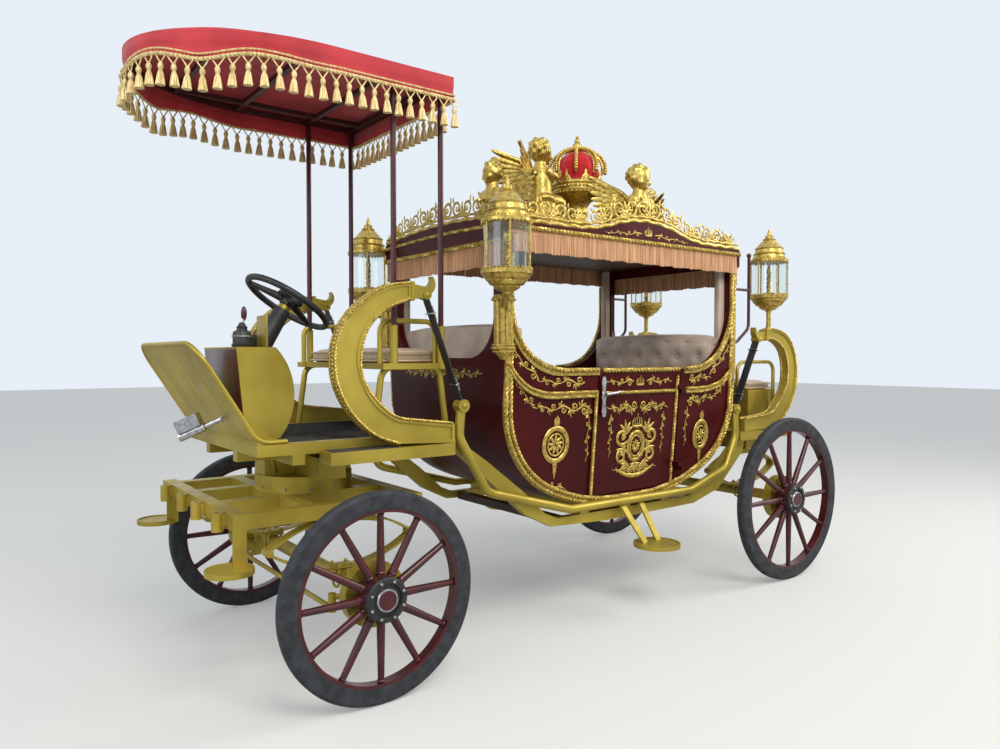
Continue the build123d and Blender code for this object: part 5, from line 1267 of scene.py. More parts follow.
def cloud(foot, top, wide):
    """The carved cushion of cloud that a child sits on."""
    masses = [lathe([(0, foot), (wide, foot), (wide * 0.98, foot + 0.012), (wide * 0.84, (foot + top) / 2),
                     (wide * 0.86, top), (0, top)], steps=32)]
    for number, (_, x, y) in enumerate(ring_of(11, wide * 0.70)):
        size = wide * (0.26 + 0.06 * math.sin(number * 2.3))
        z = max(foot + size * 0.9, (foot + top) / 2 + 0.2 * wide * math.sin(number * 1.3))
        masses.append(ball((x, y, z), size))
    return joined(masses)


FIGURES = (
    # forward of the body's middle, y, head height, size, turn, whether it reaches
    (0.519, 0.0, 2.258, 0.88, 0, False),
    (-0.690, 0.0, 2.258, 0.88, 180, False),
    (0.190, 0.0, 2.418, 1.0, 180, True),
    (-0.144, 0.420, 2.243, 1.0, 90, False),
    (-0.144, -0.420, 2.243, 1.0, -90, False),
)
quiet_child = child(False)
reaching_child = child(True)
figures = []
for x, y, head_z, size, turn, reaches in FIGURES:
    source = reaching_child if reaches else quiet_child
    figures.append(copy_at(source, moved(body_x(x), y, head_z) @ turned(turn, "Z") @ Matrix.Scale(size, 4)))
    dome = 1.943 - 0.050 * (abs(y) / 0.542) ** 2
    seat = cloud(dome + 0.001, head_z - 0.285 * size, 0.112 * size)
    seat.data.transform(moved(body_x(x), y, 0))
    figures.append(seat)
bpy.data.objects.remove(quiet_child)
bpy.data.objects.remove(reaching_child)
figure_group = joined(figures)
settle(figure_group, "roof_children", "gilt_carving", angle=75)
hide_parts("roof_figures")
print("children:", len(FIGURES))

# %% [markdown]
# The cresting along the roof's edge is openwork: C-scrolls that face each other in turn, with an acanthus
# leaf in each fork and a bud in each curl, all on a beaded ribbon that follows the pediment. Every scroll
# is drawn as a tapered stroke on a spiral, and the leaves are short fat strokes that start from one point.

# %% Strokes for scrollwork


def spiral(centre, size, side, start=-100, sweep=430, thick=0.30):
    """A stroke that winds inwards, as (u, v, radius) places."""
    spots = []
    count = 11
    for number in range(count + 1):
        share = number / count
        angle = math.radians(start + sweep * share)
        reach = size * (1 - 0.74 * share)
        radius = size * thick * (0.34 + 0.66 * math.sin(math.pi * min(1.0, 0.25 + share * 0.62)))
        spots.append((centre[0] + side * reach * math.cos(angle), centre[1] + reach * math.sin(angle),
                      radius * 0.55))
    return spots


def bud(centre, size):
    """A round bud as a very short stroke."""
    return [(centre[0] - size * 0.3, centre[1], size * 0.8), (centre[0], centre[1], size),
            (centre[0] + size * 0.3, centre[1], size * 0.8)]


def leaf(root, angle, length, width, curl=0.35):
    """A leaf that starts thin, swells and curls to a point."""
    spots = []
    for share, swell in ((0.0, 0.35), (0.25, 0.85), (0.55, 1.0), (0.8, 0.7), (1.0, 0.12)):
        heading = math.radians(angle) + curl * share
        spots.append((root[0] + length * share * math.cos(heading),
                      root[1] + length * share * math.sin(heading),
                      width * swell))
    return spots


def acanthus(root, angle, length, lobes=5):
    """A fan of leaves from one point."""
    strokes = []
    for number in range(lobes):
        share = number / (lobes - 1) - 0.5
        strokes.append(leaf(root, angle + 104 * share, length * (1 - 0.9 * abs(share)), length * 0.115,
                            curl=0.55 * share * 2))
    return strokes


def scrollwork(strokes, place, flatten=0.6, smooth=2, sides=1):
    """Strokes made solid and put in place by a rule from (u, v, depth) to (x, y, z)."""
    lines = [[(u, v, 0, max(radius, 0.0006)) for u, v, radius in stroke] for stroke in strokes]
    piece = bars(lines, sides=sides, smooth=smooth)
    for spot in piece.data.vertices:
        spot.co = place(spot.co.x, spot.co.y, spot.co.z * flatten)
    face_out(piece)
    return piece


# %% The roof's cresting
FASCIA_TOP = 1.909
PEDIMENT_HALF = 0.500
PEDIMENT_RISE = 0.076
PEDIMENT_X = -0.084
END_RISE = 0.036
RIBBON = 0.034
SIDE_CREST_Y = 0.531
END_CREST_X = 0.847
SIDE_SCROLLS = (
    # forward of the body's middle, radius
    (-0.800, 0.026), (-0.735, 0.036), (-0.655, 0.044), (-0.570, 0.046), (-0.485, 0.042), (-0.405, 0.038),
    (-0.325, 0.044), (-0.240, 0.050), (-0.150, 0.050), (-0.060, 0.052), (0.030, 0.050), (0.118, 0.050),
    (0.205, 0.046), (0.288, 0.038), (0.362, 0.036), (0.436, 0.040), (0.515, 0.046), (0.600, 0.048),
    (0.682, 0.042), (0.758, 0.036), (0.815, 0.024),
)
END_SCROLLS = (
    # left of the body's middle, radius
    (-0.470, 0.030), (-0.400, 0.038), (-0.322, 0.042), (-0.240, 0.044), (-0.155, 0.046), (-0.070, 0.048),
    (0.0, 0.040), (0.070, 0.048), (0.155, 0.046), (0.240, 0.044), (0.322, 0.042), (0.400, 0.038),
    (0.470, 0.030),
)


def side_top(x):
    """The side board's top at a distance forward of the body's middle."""
    span = PEDIMENT_HALF / 2
    radius = (span ** 2 + (PEDIMENT_RISE / 2) ** 2) / PEDIMENT_RISE
    away = abs(x - PEDIMENT_X)
    if away >= PEDIMENT_HALF:
        return FASCIA_TOP
    if away >= span:
        return FASCIA_TOP + radius - math.sqrt(radius ** 2 - (PEDIMENT_HALF - away) ** 2)
    return FASCIA_TOP + PEDIMENT_RISE - radius + math.sqrt(radius ** 2 - away ** 2)


def end_top(y):
    """The end board's top at a distance from the middle."""
    return FASCIA_TOP + END_RISE * (1 - (y / 0.542) ** 2)


def crest_strokes(scrolls, top):
    """The strokes of one run of cresting."""
    strokes = []
    for number, (u, size) in enumerate(scrolls):
        side = 1 if number % 2 else -1
        foot = top(u) + RIBBON
        centre = (u, foot + size * 0.86)
        strokes.append(spiral(centre, size * 0.92, side))
        strokes.append(bud((u + side * size * 0.05, centre[1] + size * 0.02), size * 0.17))
        strokes += acanthus((u - side * size * 0.75, foot - 0.002), 90 + side * 10, size * 1.55, lobes=5)
        strokes.append(leaf((u + side * size * 0.5, foot + size * 1.30), 90 - side * 50, size * 0.8,
                            size * 0.13, curl=side * 0.7))
    return strokes


def cresting_run(scrolls, top, half, counts, place):
    """A run of scrolls over its beaded ribbon: a waving band with a row of small scallops above it."""
    run = scrollwork(crest_strokes(scrolls, top), place)
    bands = []
    for count, z, radius, ripple in ((counts[0], 0.010, 0.0125, lambda u: 0.004 * math.sin(u * 62)),
                                     (counts[1], 0.029, 0.0062, lambda u: 0.005 * abs(math.sin(u * 40)))):
        spots = [-half + 2 * half * number / count for number in range(count + 1)]
        bands.append([(u, top(u) + z + ripple(u), radius) for u in spots])
    return joined([run, scrollwork(bands, place, flatten=0.75, smooth=1)])


side_crest = cresting_run(SIDE_SCROLLS, side_top, 0.856, (110, 140),
                          lambda u, v, depth: (body_x(u), SIDE_CREST_Y + depth, v))
end_crest = cresting_run(END_SCROLLS, end_top, 0.524, (70, 90), lambda u, v,
                         depth: (END_CREST_X + depth, u, v))
middle = moved(BODY_MIDDLE, 0, 0)
end_crests = spread(end_crest, [middle, middle @ turned(180, "Z")])
cresting = joined([both_sides(side_crest), end_crests])
settle(cresting, "roof_cresting_scrolls", "gilt_carving", angle=60)
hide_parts("roof_cresting")

# %% [markdown]
# The maroon panels carry cast foliage. It all comes from one idea, a vine: a waving stem with a scroll in
# each bend and a few leaves where the scroll leaves the stem. The strokes are flattened a little and laid
# on the leaning wall, so they read as shallow castings fixed on with pins.

# %% Vines and rosettes
CAST_FLAT = 0.55


def vine(start, end, height, bends, first=1):
    """A waving stem between two places, with a scroll and leaves in each bend."""
    start, end = Vector(start), Vector(end)
    along = end - start
    length = along.length
    along.normalize()
    across = Vector((-along.y, along.x))
    strokes = []
    stem = []
    for number in range(bends * 6 + 1):
        share = number / (bends * 6)
        fade = 1 - 0.55 * share
        spot = start + along * (length * share) + across * (height * 0.17 * fade
                                                            * math.sin(math.pi * bends * share) * first)
        stem.append((spot.x, spot.y, height * 0.062 * fade))
    strokes.append(stem)
    heading = math.degrees(math.atan2(along.y, along.x))
    for number in range(bends):
        share = (number + 0.5) / bends
        fade = 1 - 0.5 * share
        way = first * (1 if number % 2 == 0 else -1)
        centre = start + along * (length * share) - across * (height * 0.13 * fade * way)
        turned_line = []
        for u, v, radius in spiral((0, 0), height * 0.27 * fade, 1, start=150, sweep=400, thick=0.40):
            v *= way
            angle = math.radians(heading)
            turned_line.append((centre.x + u * math.cos(angle) - v * math.sin(angle),
                                centre.y + u * math.sin(angle) + v * math.cos(angle), radius))
        strokes.append(turned_line)
        strokes.append(bud((centre.x, centre.y), height * 0.050 * fade))
        root = start + along * (length * (share + 0.28 / bends)) + across * (height * 0.10 * fade * way)
        for turn, size in ((15, 0.44), (60, 0.50), (110, 0.42)):
            strokes.append(leaf(root, heading + way * turn, height * size * fade, height * 0.072 * fade,
                                curl=way * 0.7))
    strokes.append(leaf(end, heading, height * 0.45, height * 0.04))
    return strokes


def rosette(centre, size, petals=8):
    """A round flower of petals about a bud."""
    strokes = [bud(centre, size * 0.24)]
    for number in range(petals):
        angle = 360 * number / petals
        root = (centre[0] + size * 0.22 * math.cos(math.radians(angle)),
                centre[1] + size * 0.22 * math.sin(math.radians(angle)))
        strokes.append(leaf(root, angle, size * 0.80, size * 0.19, curl=0.25))
    return strokes


def oval(centre, half_width, half_height, radius, count=28):
    """A closed oval ring."""
    return [(centre[0] + half_width * math.cos(2 * math.pi * number / count),
             centre[1] + half_height * math.sin(2 * math.pi * number / count), radius)
             for number in range(count + 1)]


def beads(centre, half_width, half_height, radius, count):
    """A ring of beads on an oval."""
    return [bud((centre[0] + half_width * math.cos(2 * math.pi * number / count),
                 centre[1] + half_height * math.sin(2 * math.pi * number / count)), radius)
            for number in range(count)]


def small_crown(foot, size):
    """A little open crown of five points over a band."""
    u, v = foot
    strokes = [[(u - size * 0.5, v, size * 0.09), (u, v - size * 0.06, size * 0.10),
                (u + size * 0.5, v, size * 0.09)]]
    for number in range(5):
        share = number / 4 - 0.5
        strokes.append([(u + share * size * 0.92, v, size * 0.07),
                        (u + share * size * 1.15, v + size * 0.34, size * 0.055),
                        (u + share * size * 0.8, v + size * (0.62 - abs(share) * 0.3), size * 0.05)])
        strokes.append(bud((u + share * size * 0.8, v + size * (0.68 - abs(share) * 0.3)), size * 0.085))
    strokes.append(bud((u, v + size * 0.84), size * 0.10))
    return strokes


def medallion(centre, width, height, drop, inner):
    """An oval badge: a plain ring round a rosette, with a loop above and a turned drop below."""
    u, v = centre
    strokes = [oval(centre, width, height, 0.0125), oval(centre, width * 0.66, height * 0.66, 0.0045)]
    strokes += rosette(centre, inner, 9)
    strokes.append(oval((u, v + height + 0.030), 0.013, 0.018, 0.0060, 16))
    strokes.append(bud((u, v + height + 0.054), 0.0080))
    for side in (-1, 1):
        strokes.append(leaf((u, v + height + 0.006), 90 - side * 38, 0.040, 0.0090, curl=side * 0.5))
        strokes.append(leaf((u, v - height - 0.004), -90 + side * 44, 0.034, 0.0075, curl=side * -0.5))
    strokes.append([(u, v - height, 0.0110), (u, v - height - drop * 0.55, 0.0085),
                    (u, v - height - drop * 0.62, 0.0120),
                    (u, v - height - drop * 0.70, 0.0075), (u, v - height - drop, 0.0020)])
    return strokes


def on_panel(strokes, proud=0.004, sides=1, smooth=2):
    """Strokes laid on the body's left wall."""
    return scrollwork(strokes, lambda u, v, depth: (body_x(u), wall_y(v) + proud + depth, v), CAST_FLAT,
                      smooth, sides)


# %% [markdown]
# The side panels have an oval badge each, foliage under the waist rope, and more between the waist and the
# belt. The left side is made first and mirrored for the right.

# %% Castings on the side panels
PANEL_VINES = (
    # start, end, height, bends, which way the first bend goes
    ((0.300, 1.040), (0.640, 1.056), 0.085, 5, 1),
    ((0.300, 1.058), (0.300, 0.800), 0.055, 4, 1),
    ((0.655, 1.070), (0.760, 1.160), 0.060, 2, -1),
    ((0.345, 1.172), (0.620, 1.180), 0.075, 4, -1),
    ((0.640, 1.190), (0.800, 1.330), 0.065, 3, 1),
    ((-0.440, 1.172), (-0.600, 1.184), 0.072, 3, 1),
    ((-0.620, 1.196), (-0.800, 1.360), 0.065, 3, -1),
    ((-0.440, 1.046), (-0.660, 1.072), 0.075, 4, -1),
    ((-0.672, 1.080), (-0.780, 1.160), 0.055, 2, 1),
    ((-0.440, 1.020), (-0.440, 0.820), 0.050, 3, -1),
    ((0.420, 0.640), (0.620, 0.720), 0.050, 3, 1),
)
panel_strokes = medallion((0.507, 0.874), 0.074, 0.080, 0.085, 0.046)
panel_strokes += medallion((-0.576, 0.856), 0.056, 0.076, 0.080, 0.036)
for row in PANEL_VINES:
    panel_strokes += vine(*row)
settle_pair(on_panel(panel_strokes), "panel_castings", "gilt_carving", 60)

# %% [markdown]
# Each door has the largest casting: a shield-shaped cartouche held between two tall scrolls of foliage,
# with a little crown over it, a garland across the top and sprays that hang down both edges. Its middle is
# a plain rosette on a bossed oval.

# %% Castings on the doors
DOOR_MIDDLE = (-0.052, 0.830)
u, v = DOOR_MIDDLE
door_strokes = [oval((u, v), 0.058, 0.074, 0.009), oval((u, v), 0.042, 0.056, 0.0045)]
door_strokes += beads((u, v), 0.070, 0.087, 0.0045, 28)
door_strokes += rosette((u, v), 0.034, 10)
door_strokes += small_crown((u, v + 0.104), 0.070)
for side in (-1, 1):
    door_strokes.append(spiral((u + side * 0.108, v + 0.052), 0.050, side, start=-150, sweep=430, thick=0.34))
    door_strokes.append(spiral((u + side * 0.104, v - 0.052), 0.046, side, start=150, sweep=-430, thick=0.34))
    door_strokes += acanthus((u + side * 0.070, v + 0.070), 90 - side * 34, 0.085, lobes=6)
    door_strokes += acanthus((u + side * 0.078, v - 0.012), 90 - side * 90, 0.070, lobes=5)
    door_strokes += acanthus((u + side * 0.058, v - 0.086), -90 + side * 40, 0.070, lobes=6)
    door_strokes += vine((u + side * 0.014, v - 0.132), (u + side * 0.150, v - 0.118), 0.045, 3, side)
    door_strokes += vine((u + side * 0.012, v + 0.206), (u + side * 0.200, v + 0.202), 0.078, 4, -side)
    door_strokes += vine((u + side * 0.196, v + 0.172), (u + side * 0.196, v - 0.030), 0.044, 4, side)
    door_strokes += vine((u + side * 0.050, 1.168), (u + side * 0.225, 1.168), 0.058, 3, side)
door_strokes += acanthus((u, v - 0.090), -90, 0.070, lobes=7)
door_strokes += small_crown((u, 1.152), 0.052)
door_strokes.append([(u - 0.140, v - 0.112, 0.004), (u - 0.080, v - 0.150, 0.010), (u, v - 0.166, 0.012),
                     (u + 0.080, v - 0.150, 0.010), (u + 0.140, v - 0.112, 0.004)])
settle_pair(on_panel(door_strokes), "door_casting", "gilt_carving", 60, "door")

# %% [markdown]
# The front and rear walls and the pediment have lighter foliage, and a little crown stands in the middle of
# each pediment.

# %% Castings on the pediments and the end walls
PEDIMENT_FACE = 0.5425
END_WALL_FACE = HALF_LENGTH + 0.002
pediment_strokes = small_crown((PEDIMENT_X, 1.922), 0.050)
front_strokes = small_crown((0, 1.206), 0.070)
for side in (-1, 1):
    pediment_strokes += vine((PEDIMENT_X + side * 0.050, 1.926), (PEDIMENT_X + side * 0.300, 1.912),
                             0.036, 4, side)
for side in (1, -1):
    front_strokes += vine((side * 0.050, 1.214), (side * 0.330, 1.214), 0.070, 5, side)
end_castings = [both_sides(scrollwork(
    pediment_strokes, lambda u, v, depth: (body_x(u), PEDIMENT_FACE + depth, v), 0.5))]
for end in (1, -1):
    end_castings.append(scrollwork(
        front_strokes, lambda u, v, depth: (body_x(end * (END_WALL_FACE + depth)), u, v), 0.5))
settle(joined(end_castings), "pediment_and_end_castings", "gilt_carving", angle=60)

# %% [markdown]
# The C-scroll arches are framed by ropes along both edges of both faces, and the outer edge between them is
# carved in overlapping scales. The ropes follow the arch's own arcs.

# %% Ropes and scales on the arches
ARCH_FACES = (0.4745, 0.5195)
ARCH_MIDDLE = 0.497
FRONT_OUTER = [(-0.195, 0.943), (-0.085, 0.985), (0.012, 1.072), (0.068, 1.170), (0.088, 1.262),
               (0.078, 1.360), (0.030, 1.456), (-0.055, 1.534), (-0.145, 1.584), (-0.250, 1.602)]
FRONT_INNER = [(-0.256, 1.537), (-0.165, 1.506), (-0.092, 1.456), (-0.042, 1.385), (-0.022, 1.290),
               (-0.032, 1.212), (-0.068, 1.150), (-0.122, 1.093), (-0.196, 1.048), (-0.330, 1.028),
               (-0.460, 1.012)]
REAR_OUTER = [(-0.134, 0.860), (-0.235, 0.910), (-0.325, 1.003), (-0.373, 1.098), (-0.389, 1.195),
              (-0.370, 1.298), (-0.316, 1.392), (-0.225, 1.448), (-0.114, 1.462), (-0.064, 1.453)]
REAR_INNER = [(-0.062, 1.399), (-0.110, 1.405), (-0.185, 1.384), (-0.250, 1.335), (-0.283, 1.265),
              (-0.290, 1.195), (-0.277, 1.120), (-0.238, 1.058), (-0.176, 0.993), (-0.100, 0.947),
              (0.140, 0.926)]
arch_lines = []
for outline, place in ((FRONT_OUTER, front_x), (FRONT_INNER, front_x), (REAR_OUTER, rear_x),
                       (REAR_INNER, rear_x)):
    for y in ARCH_FACES:
        arch_lines.append([(place(x), y, z) for x, z in outline])
arch_rope = rope(arch_lines, 0.0075)
scale_piece = ball((0, 0, 0), (0.0125, 0.0175, 0.0065), 9)
scale_places = []
for outline, place in ((FRONT_OUTER, front_x), (REAR_OUTER, rear_x)):
    spots = smooth_line([(place(x), ARCH_MIDDLE, z) for x, z in outline], 0.017)
    for here, there in zip(spots, spots[1:]):
        way = (there - here).normalized()
        tilt = math.atan2(way.z, way.x)
        scale_places.append(Matrix.Translation(here) @ Matrix.Rotation(-tilt + 0.22, 4, "Y"))
scales = spread(scale_piece, scale_places)
settle_pair(joined([arch_rope, scales]), "arch_ropes", "gilt_carving", 60)

# %% [markdown]
# Each lantern has a beaded ring over and under its glass and a twisted candle inside, with a flame-shaped
# bulb on it. Under the front lanterns, rings of rope go round the column.

# %% Lantern details
LAMP_FRONT = (body_x(0.915), 0.640)
LAMP_REAR = (rear_x(-0.114), 0.497)
LAMP_FOOT = 1.566
LAMP_COLUMN = (body_x(0.850), 0.532)
BEAD_RINGS = ((0.108, 0.108, 0.0052), (0.301, 0.108, 0.0052), (0.330, 0.093, 0.0042), (0.060, 0.086, 0.0042))
lamp_parts = []
bead_ball = ball((0, 0, 0), 1.0, 8)
lamp_beads = []
for x, y in (LAMP_FRONT, LAMP_REAR):
    core = [(x, y, LAMP_FOOT + z) for z in (0.104, 0.160, 0.222)]
    lamp_parts.append(rope([core], 0.015, straight=True))
    lamp_parts.append(lathe([(0, 0), (0.011, 0.003), (0.015, 0.020), (0.010, 0.046), (0.004, 0.066),
                             (0, 0.072)], core[2], steps=14))
    lamp_parts.append(lathe([(0, 0), (0.030, 0.002), (0.034, 0.014), (0.020, 0.018), (0, 0.018)], core[0],
                            steps=18))
    for _, along, across in ring_of(36):
        for z, reach, size in BEAD_RINGS:
            place = moved(x + reach * along, y + reach * across, LAMP_FOOT + z)
            lamp_beads.append(place @ Matrix.Scale(size, 4))
for z, reach in ((1.336, 0.052), (1.350, 0.049), (1.552, 0.051), (1.320, 0.046)):
    lamp_parts.append(rope([[(*spot, z) for spot in arc_run(LAMP_COLUMN, reach, 0, 360, 18)]], 0.0055))
lamp_parts.append(spread(bead_ball, lamp_beads))
settle_pair(joined(lamp_parts), "lantern_trim", "gilt_carving", 50)

# %% [markdown]
# The wheels turn on plain automotive hubs. A short black flange with a ring of bolts covers each hub, with
# a bright band inside it, and small collars seat the spokes in the rim. The rubber's lips reach down over
# the rim's faces, so only a narrow line of paint shows inside them. One hub is modelled about its own axle
# and copied to the four wheels, so each copy turns with its wheel.

# %% Hubs and spoke collars
HUB_FACE = 0.035
WHEEL_Y = 0.718
SPOKES = 12
RIM_DEPTH = 0.046
WHEELS = (
    # name, side, place along X, radius
    ("front_left", 1, FRONT_AXLE, FRONT_RADIUS), ("front_right", -1, FRONT_AXLE, FRONT_RADIUS),
    ("rear_left", 1, REAR_AXLE, REAR_RADIUS), ("rear_right", -1, REAR_AXLE, REAR_RADIUS),
)


def hub_lathe(profile, steps):
    """A turned piece whose heights are measured from the hub's face."""
    return lathe([(radius, HUB_FACE + height) for radius, height in profile], steps=steps)


def collars(reach):
    """A small collar at each end of every spoke: one at the rim, a larger one at the hub."""
    ring = add_primitive("torus", major_radius=0.0125, minor_radius=0.0032, major_segments=12,
                         minor_segments=5)
    places = []
    for angle, _, _ in ring_of(SPOKES):
        for out, size in ((reach, 1.0), (0.094, 1.28)):
            places.append(Matrix.Rotation(angle, 4, "Z") @ moved(out, 0, 0) @ turned(90, "Y")
                          @ Matrix.Scale(size, 4))
    return spread(ring, places)


flange = hub_lathe([(0, -0.002), (0.084, -0.002), (0.084, 0.016), (0.080, 0.020), (0.062, 0.020),
                    (0.058, 0.010), (0, 0.010)], 40)
cup = hub_lathe([(0.0355, 0.009), (0.046, 0.009), (0.045, 0.018), (0.042, 0.0215), (0.0355, 0.0215),
                 (0.0355, 0.009)], 32)
nut = add_primitive("cylinder", vertices=6, radius=0.0065, depth=0.010)
apply_modifier(nut, "BEVEL", width=0.0012, segments=1)
nuts = spread(nut, [moved(x, y, HUB_FACE + 0.022) for _, x, y in ring_of(8, 0.071, 0.5)])
steel_cup = joined([cup, nuts])
for name, side, x, radius in WHEELS:
    place = moved(x, side * WHEEL_Y, radius) @ turned(-90 * side, "X")
    rim = radius - RIM_DEPTH
    lip = lathe([(rim - 0.021, 0.0212), (rim - 0.019, 0.0246), (rim + 0.001, 0.0249), (rim + 0.001, 0.0212),
                 (rim - 0.021, 0.0212)], steps=96)
    pieces = (
        # piece, name, finish
        (copy_at(flange, place), "hub_flange_", "black_plastic"),
        (copy_at(steel_cup, place), "hub_nut_", "bare_steel"),
        (spread(collars(rim - 0.040), [place]), "spoke_collars_", "maroon_paint"),
        (spread(joined([lip, copy_at(lip, turned(180, "X"))]), [place]), "tyre_lips_", "tyre_rubber"),
    )
    for piece, new_name, finish in pieces:
        settle(piece, new_name + name, finish, "wheel_" + name)
bpy.data.objects.remove(flange)
bpy.data.objects.remove(steel_cup)

# %% [markdown]
# Two clamps hold each spring to its axle: a bolt bent into a U over a plate, with a nut on each leg. The
# bolt heads on the turntable and the drums are small, but they tell the eye how large the carriage is.

# %% Spring clamps and bolt heads
SPRING_Y = 0.391
DRUM_FACE = 0.626
bolt = add_primitive("cylinder", vertices=6, radius=0.009, depth=0.009)
apply_modifier(bolt, "BEVEL", width=0.0015, segments=1)


def bolts_at(places):
    """Bolt heads at many places, made one."""
    return spread(copy_at(bolt, Matrix.Identity(4)), places)


def spring_clamps(x, axle_z):
    """The two U-bolts and the plate of each spring on an axle."""
    lines = []
    nuts = []
    for shift in (x - 0.030, x + 0.030):
        legs = ((-0.034, 0.064), (-0.034, -0.024), (-0.016, -0.035), (0.016, -0.035), (0.034, -0.024),
                (0.034, 0.064))
        lines.append([(shift, SPRING_Y + y, axle_z + z, 0.0055) for y, z in legs])
        for y in (SPRING_Y - 0.034, SPRING_Y + 0.034):
            nuts.append(moved(shift, y, axle_z + 0.058) @ Matrix.Scale(0.9, 4))
    plate = bevelled_box((x - 0.048, SPRING_Y - 0.044, axle_z + 0.047),
                         (x + 0.048, SPRING_Y + 0.044, axle_z + 0.053),
                         0.002, 2)
    return both_sides(joined([bars(lines, sides=2, smooth=4), plate, bolts_at(nuts)]))


def drum_bolts(x, side, axle_z):
    """The places of ten bolt heads in a ring on a brake drum."""
    return [moved(x + u, side * DRUM_FACE, axle_z + v) @ turned(90, "X") for _, u, v in ring_of(10, 0.104)]


settle(spring_clamps(FRONT_AXLE, FRONT_RADIUS), "front_spring_clamps", "gold_paint", "forecarriage")
settle(spring_clamps(REAR_AXLE, REAR_RADIUS), "rear_spring_clamps", "gold_paint")
ring_bolts = [moved(FRONT_AXLE + x, y, 0.739) @ Matrix.Rotation(angle, 4, "Z") @ turned(90, "Y")
              @ Matrix.Scale(0.8, 4) for angle, x, y in ring_of(12, 0.212, 0.5)]
settle(bolts_at(ring_bolts), "turntable_bolts", "bare_steel", "forecarriage")
for name, side in (("left", 1), ("right", -1)):
    knuckle_bolts = bolts_at(drum_bolts(FRONT_AXLE, side, FRONT_RADIUS))
    settle(knuckle_bolts, "knuckle_bolts_" + name, "bare_steel", "knuckle_" + name)
rear_drums = drum_bolts(REAR_AXLE, -1, REAR_RADIUS) + drum_bolts(REAR_AXLE, 1, REAR_RADIUS)
settle(bolts_at(rear_drums), "rear_drum_bolts", "bare_steel")
bpy.data.objects.remove(bolt)

# %% [markdown]
# The leather straps are joined at both ends by a stitched keeper and a square buckle, and each runs over a
# round pin with a washer and a nut.

# %% Buckles and pins
STRAP_ENDS = (
    # top of the strap, foot of the strap
    ((front_x(-0.330), 0.497, 1.556), (front_x(-0.509), 0.503, 1.085)),
    ((rear_x(0.008), 0.497, 1.400), (rear_x(0.231), 0.503, 0.990)),
)
PIN = [(0, -0.006), (0.014, -0.006), (0.014, -0.001), (0.0085, 0.000), (0.0085, 0.003), (0.005, 0.006),
       (0, 0.0065)]
pins = []
keepers = []
for top, foot in STRAP_ENDS:
    top, foot = Vector(top), Vector(foot)
    way = (foot - top).normalized()
    for spot, reach in ((top, 0.031), (foot, 0.034)):
        pin = lathe(PIN, steps=16)
        pin.data.transform(moved(spot.x, spot.y + reach - 0.004, spot.z) @ turned(-90, "X"))
        pins.append(pin)
    across = Vector((way.z, 0, -way.x))
    for share in (0.16, 0.80):
        middle = top.lerp(foot, share)
        corners = []
        for u, v in ((-1, -1), (1, -1), (1, 1), (-1, 1), (-1, -1)):
            corners.append(middle + Vector((0, 0.027 * u, 0)) + across * (0.0075 * v))
        keepers.append([(*corner, 0.0034) for corner in corners])
        for u in (-1, 1):
            stitch = middle + Vector((0, 0.020 * u, 0)) + across * 0.006
            keepers.append([(*(stitch - way * 0.030), 0.0022), (*(stitch + way * 0.030), 0.0022)])
settle(both_sides(joined(pins)), "strap_pins", "gold_paint")
settle(both_sides(bars(keepers, sides=1, smooth=False)), "strap_buckles", "bare_steel")

# %% [markdown]
# The driver's place is plain metalwork. The footboard is pressed with three long soft creases, and the
# console's front is a maroon panel with a black dial pot, a lever and a small dash plate on top. The
# steering wheel has a padded boss.

# %% Footboard creases and console
BOARD_FOOT = Vector((front_x(0.354), 0, 0.974))
BOARD_HEAD = Vector((front_x(0.588), 0, 1.348))
board_up = (BOARD_HEAD - BOARD_FOOT).normalized()
creases = []
for y in (-0.245, 0.0, 0.245):
    low_end = BOARD_FOOT + board_up * 0.080 + Vector((0, y, 0))
    high_end = BOARD_HEAD - board_up * 0.060 + Vector((0, y, 0))
    creases.append([(*low_end, 0.002), (*low_end.lerp(high_end, 0.15), 0.0082),
                    (*low_end.lerp(high_end, 0.85), 0.0082), (*high_end, 0.002)])
settle(bars(creases, sides=3, smooth=4), "footboard_creases", "gold_paint", angle=80)

panel_low, panel_high = Vector((front_x(0.3325), 0, 0.984)), Vector((front_x(0.3665), 0, 1.330))
panel_up = panel_high - panel_low
panel = bevelled_box((-0.002, -0.206, -panel_up.length / 2), (0.002, 0.206, panel_up.length / 2), 0.0015, 2)
panel.data.transform(Matrix.Translation((panel_low + panel_high) / 2)
                     @ Matrix.Rotation(math.atan2(panel_up.x, panel_up.z), 4, "Y"))
settle(panel, "console_front", "maroon_paint")

CONSOLE_TOP = 1.337
WHEEL_TILT = math.atan2(130, 200)
pot_place = Vector((front_x(0.321), 0.149, CONSOLE_TOP))
tilt = moved(front_x(0.070), 0, 1.535) @ Matrix.Rotation(-WHEEL_TILT, 4, "Y")
pot = lathe([(0, 0.001), (0.040, 0.001), (0.042, 0.010), (0.037, 0.014), (0.036, 0.058), (0.030, 0.066),
             (0, 0.066)], pot_place, steps=28)
boot = lathe([(0, 0.064), (0.024, 0.064), (0.020, 0.074), (0.022, 0.080), (0.014, 0.090), (0.010, 0.100),
              (0, 0.101)], pot_place, steps=20)
switch_box = pad_block((front_x(0.220), -0.020, CONSOLE_TOP + 0.001),
                       (front_x(0.300), 0.080, CONSOLE_TOP + 0.052),
                       0.012)
shroud = lathe([(0, -0.215), (0.046, -0.212), (0.042, -0.150), (0.036, -0.060), (0.034, -0.040), (0, -0.038)],
               steps=24)
shroud.data.transform(tilt)
settle(joined([pot, boot, switch_box, shroud]), "console_fittings", "black_plastic")
ring = lathe([(0.034, 0.040), (0.040, 0.040), (0.041, 0.048), (0.034, 0.048), (0.034, 0.040)], pot_place,
             steps=28)
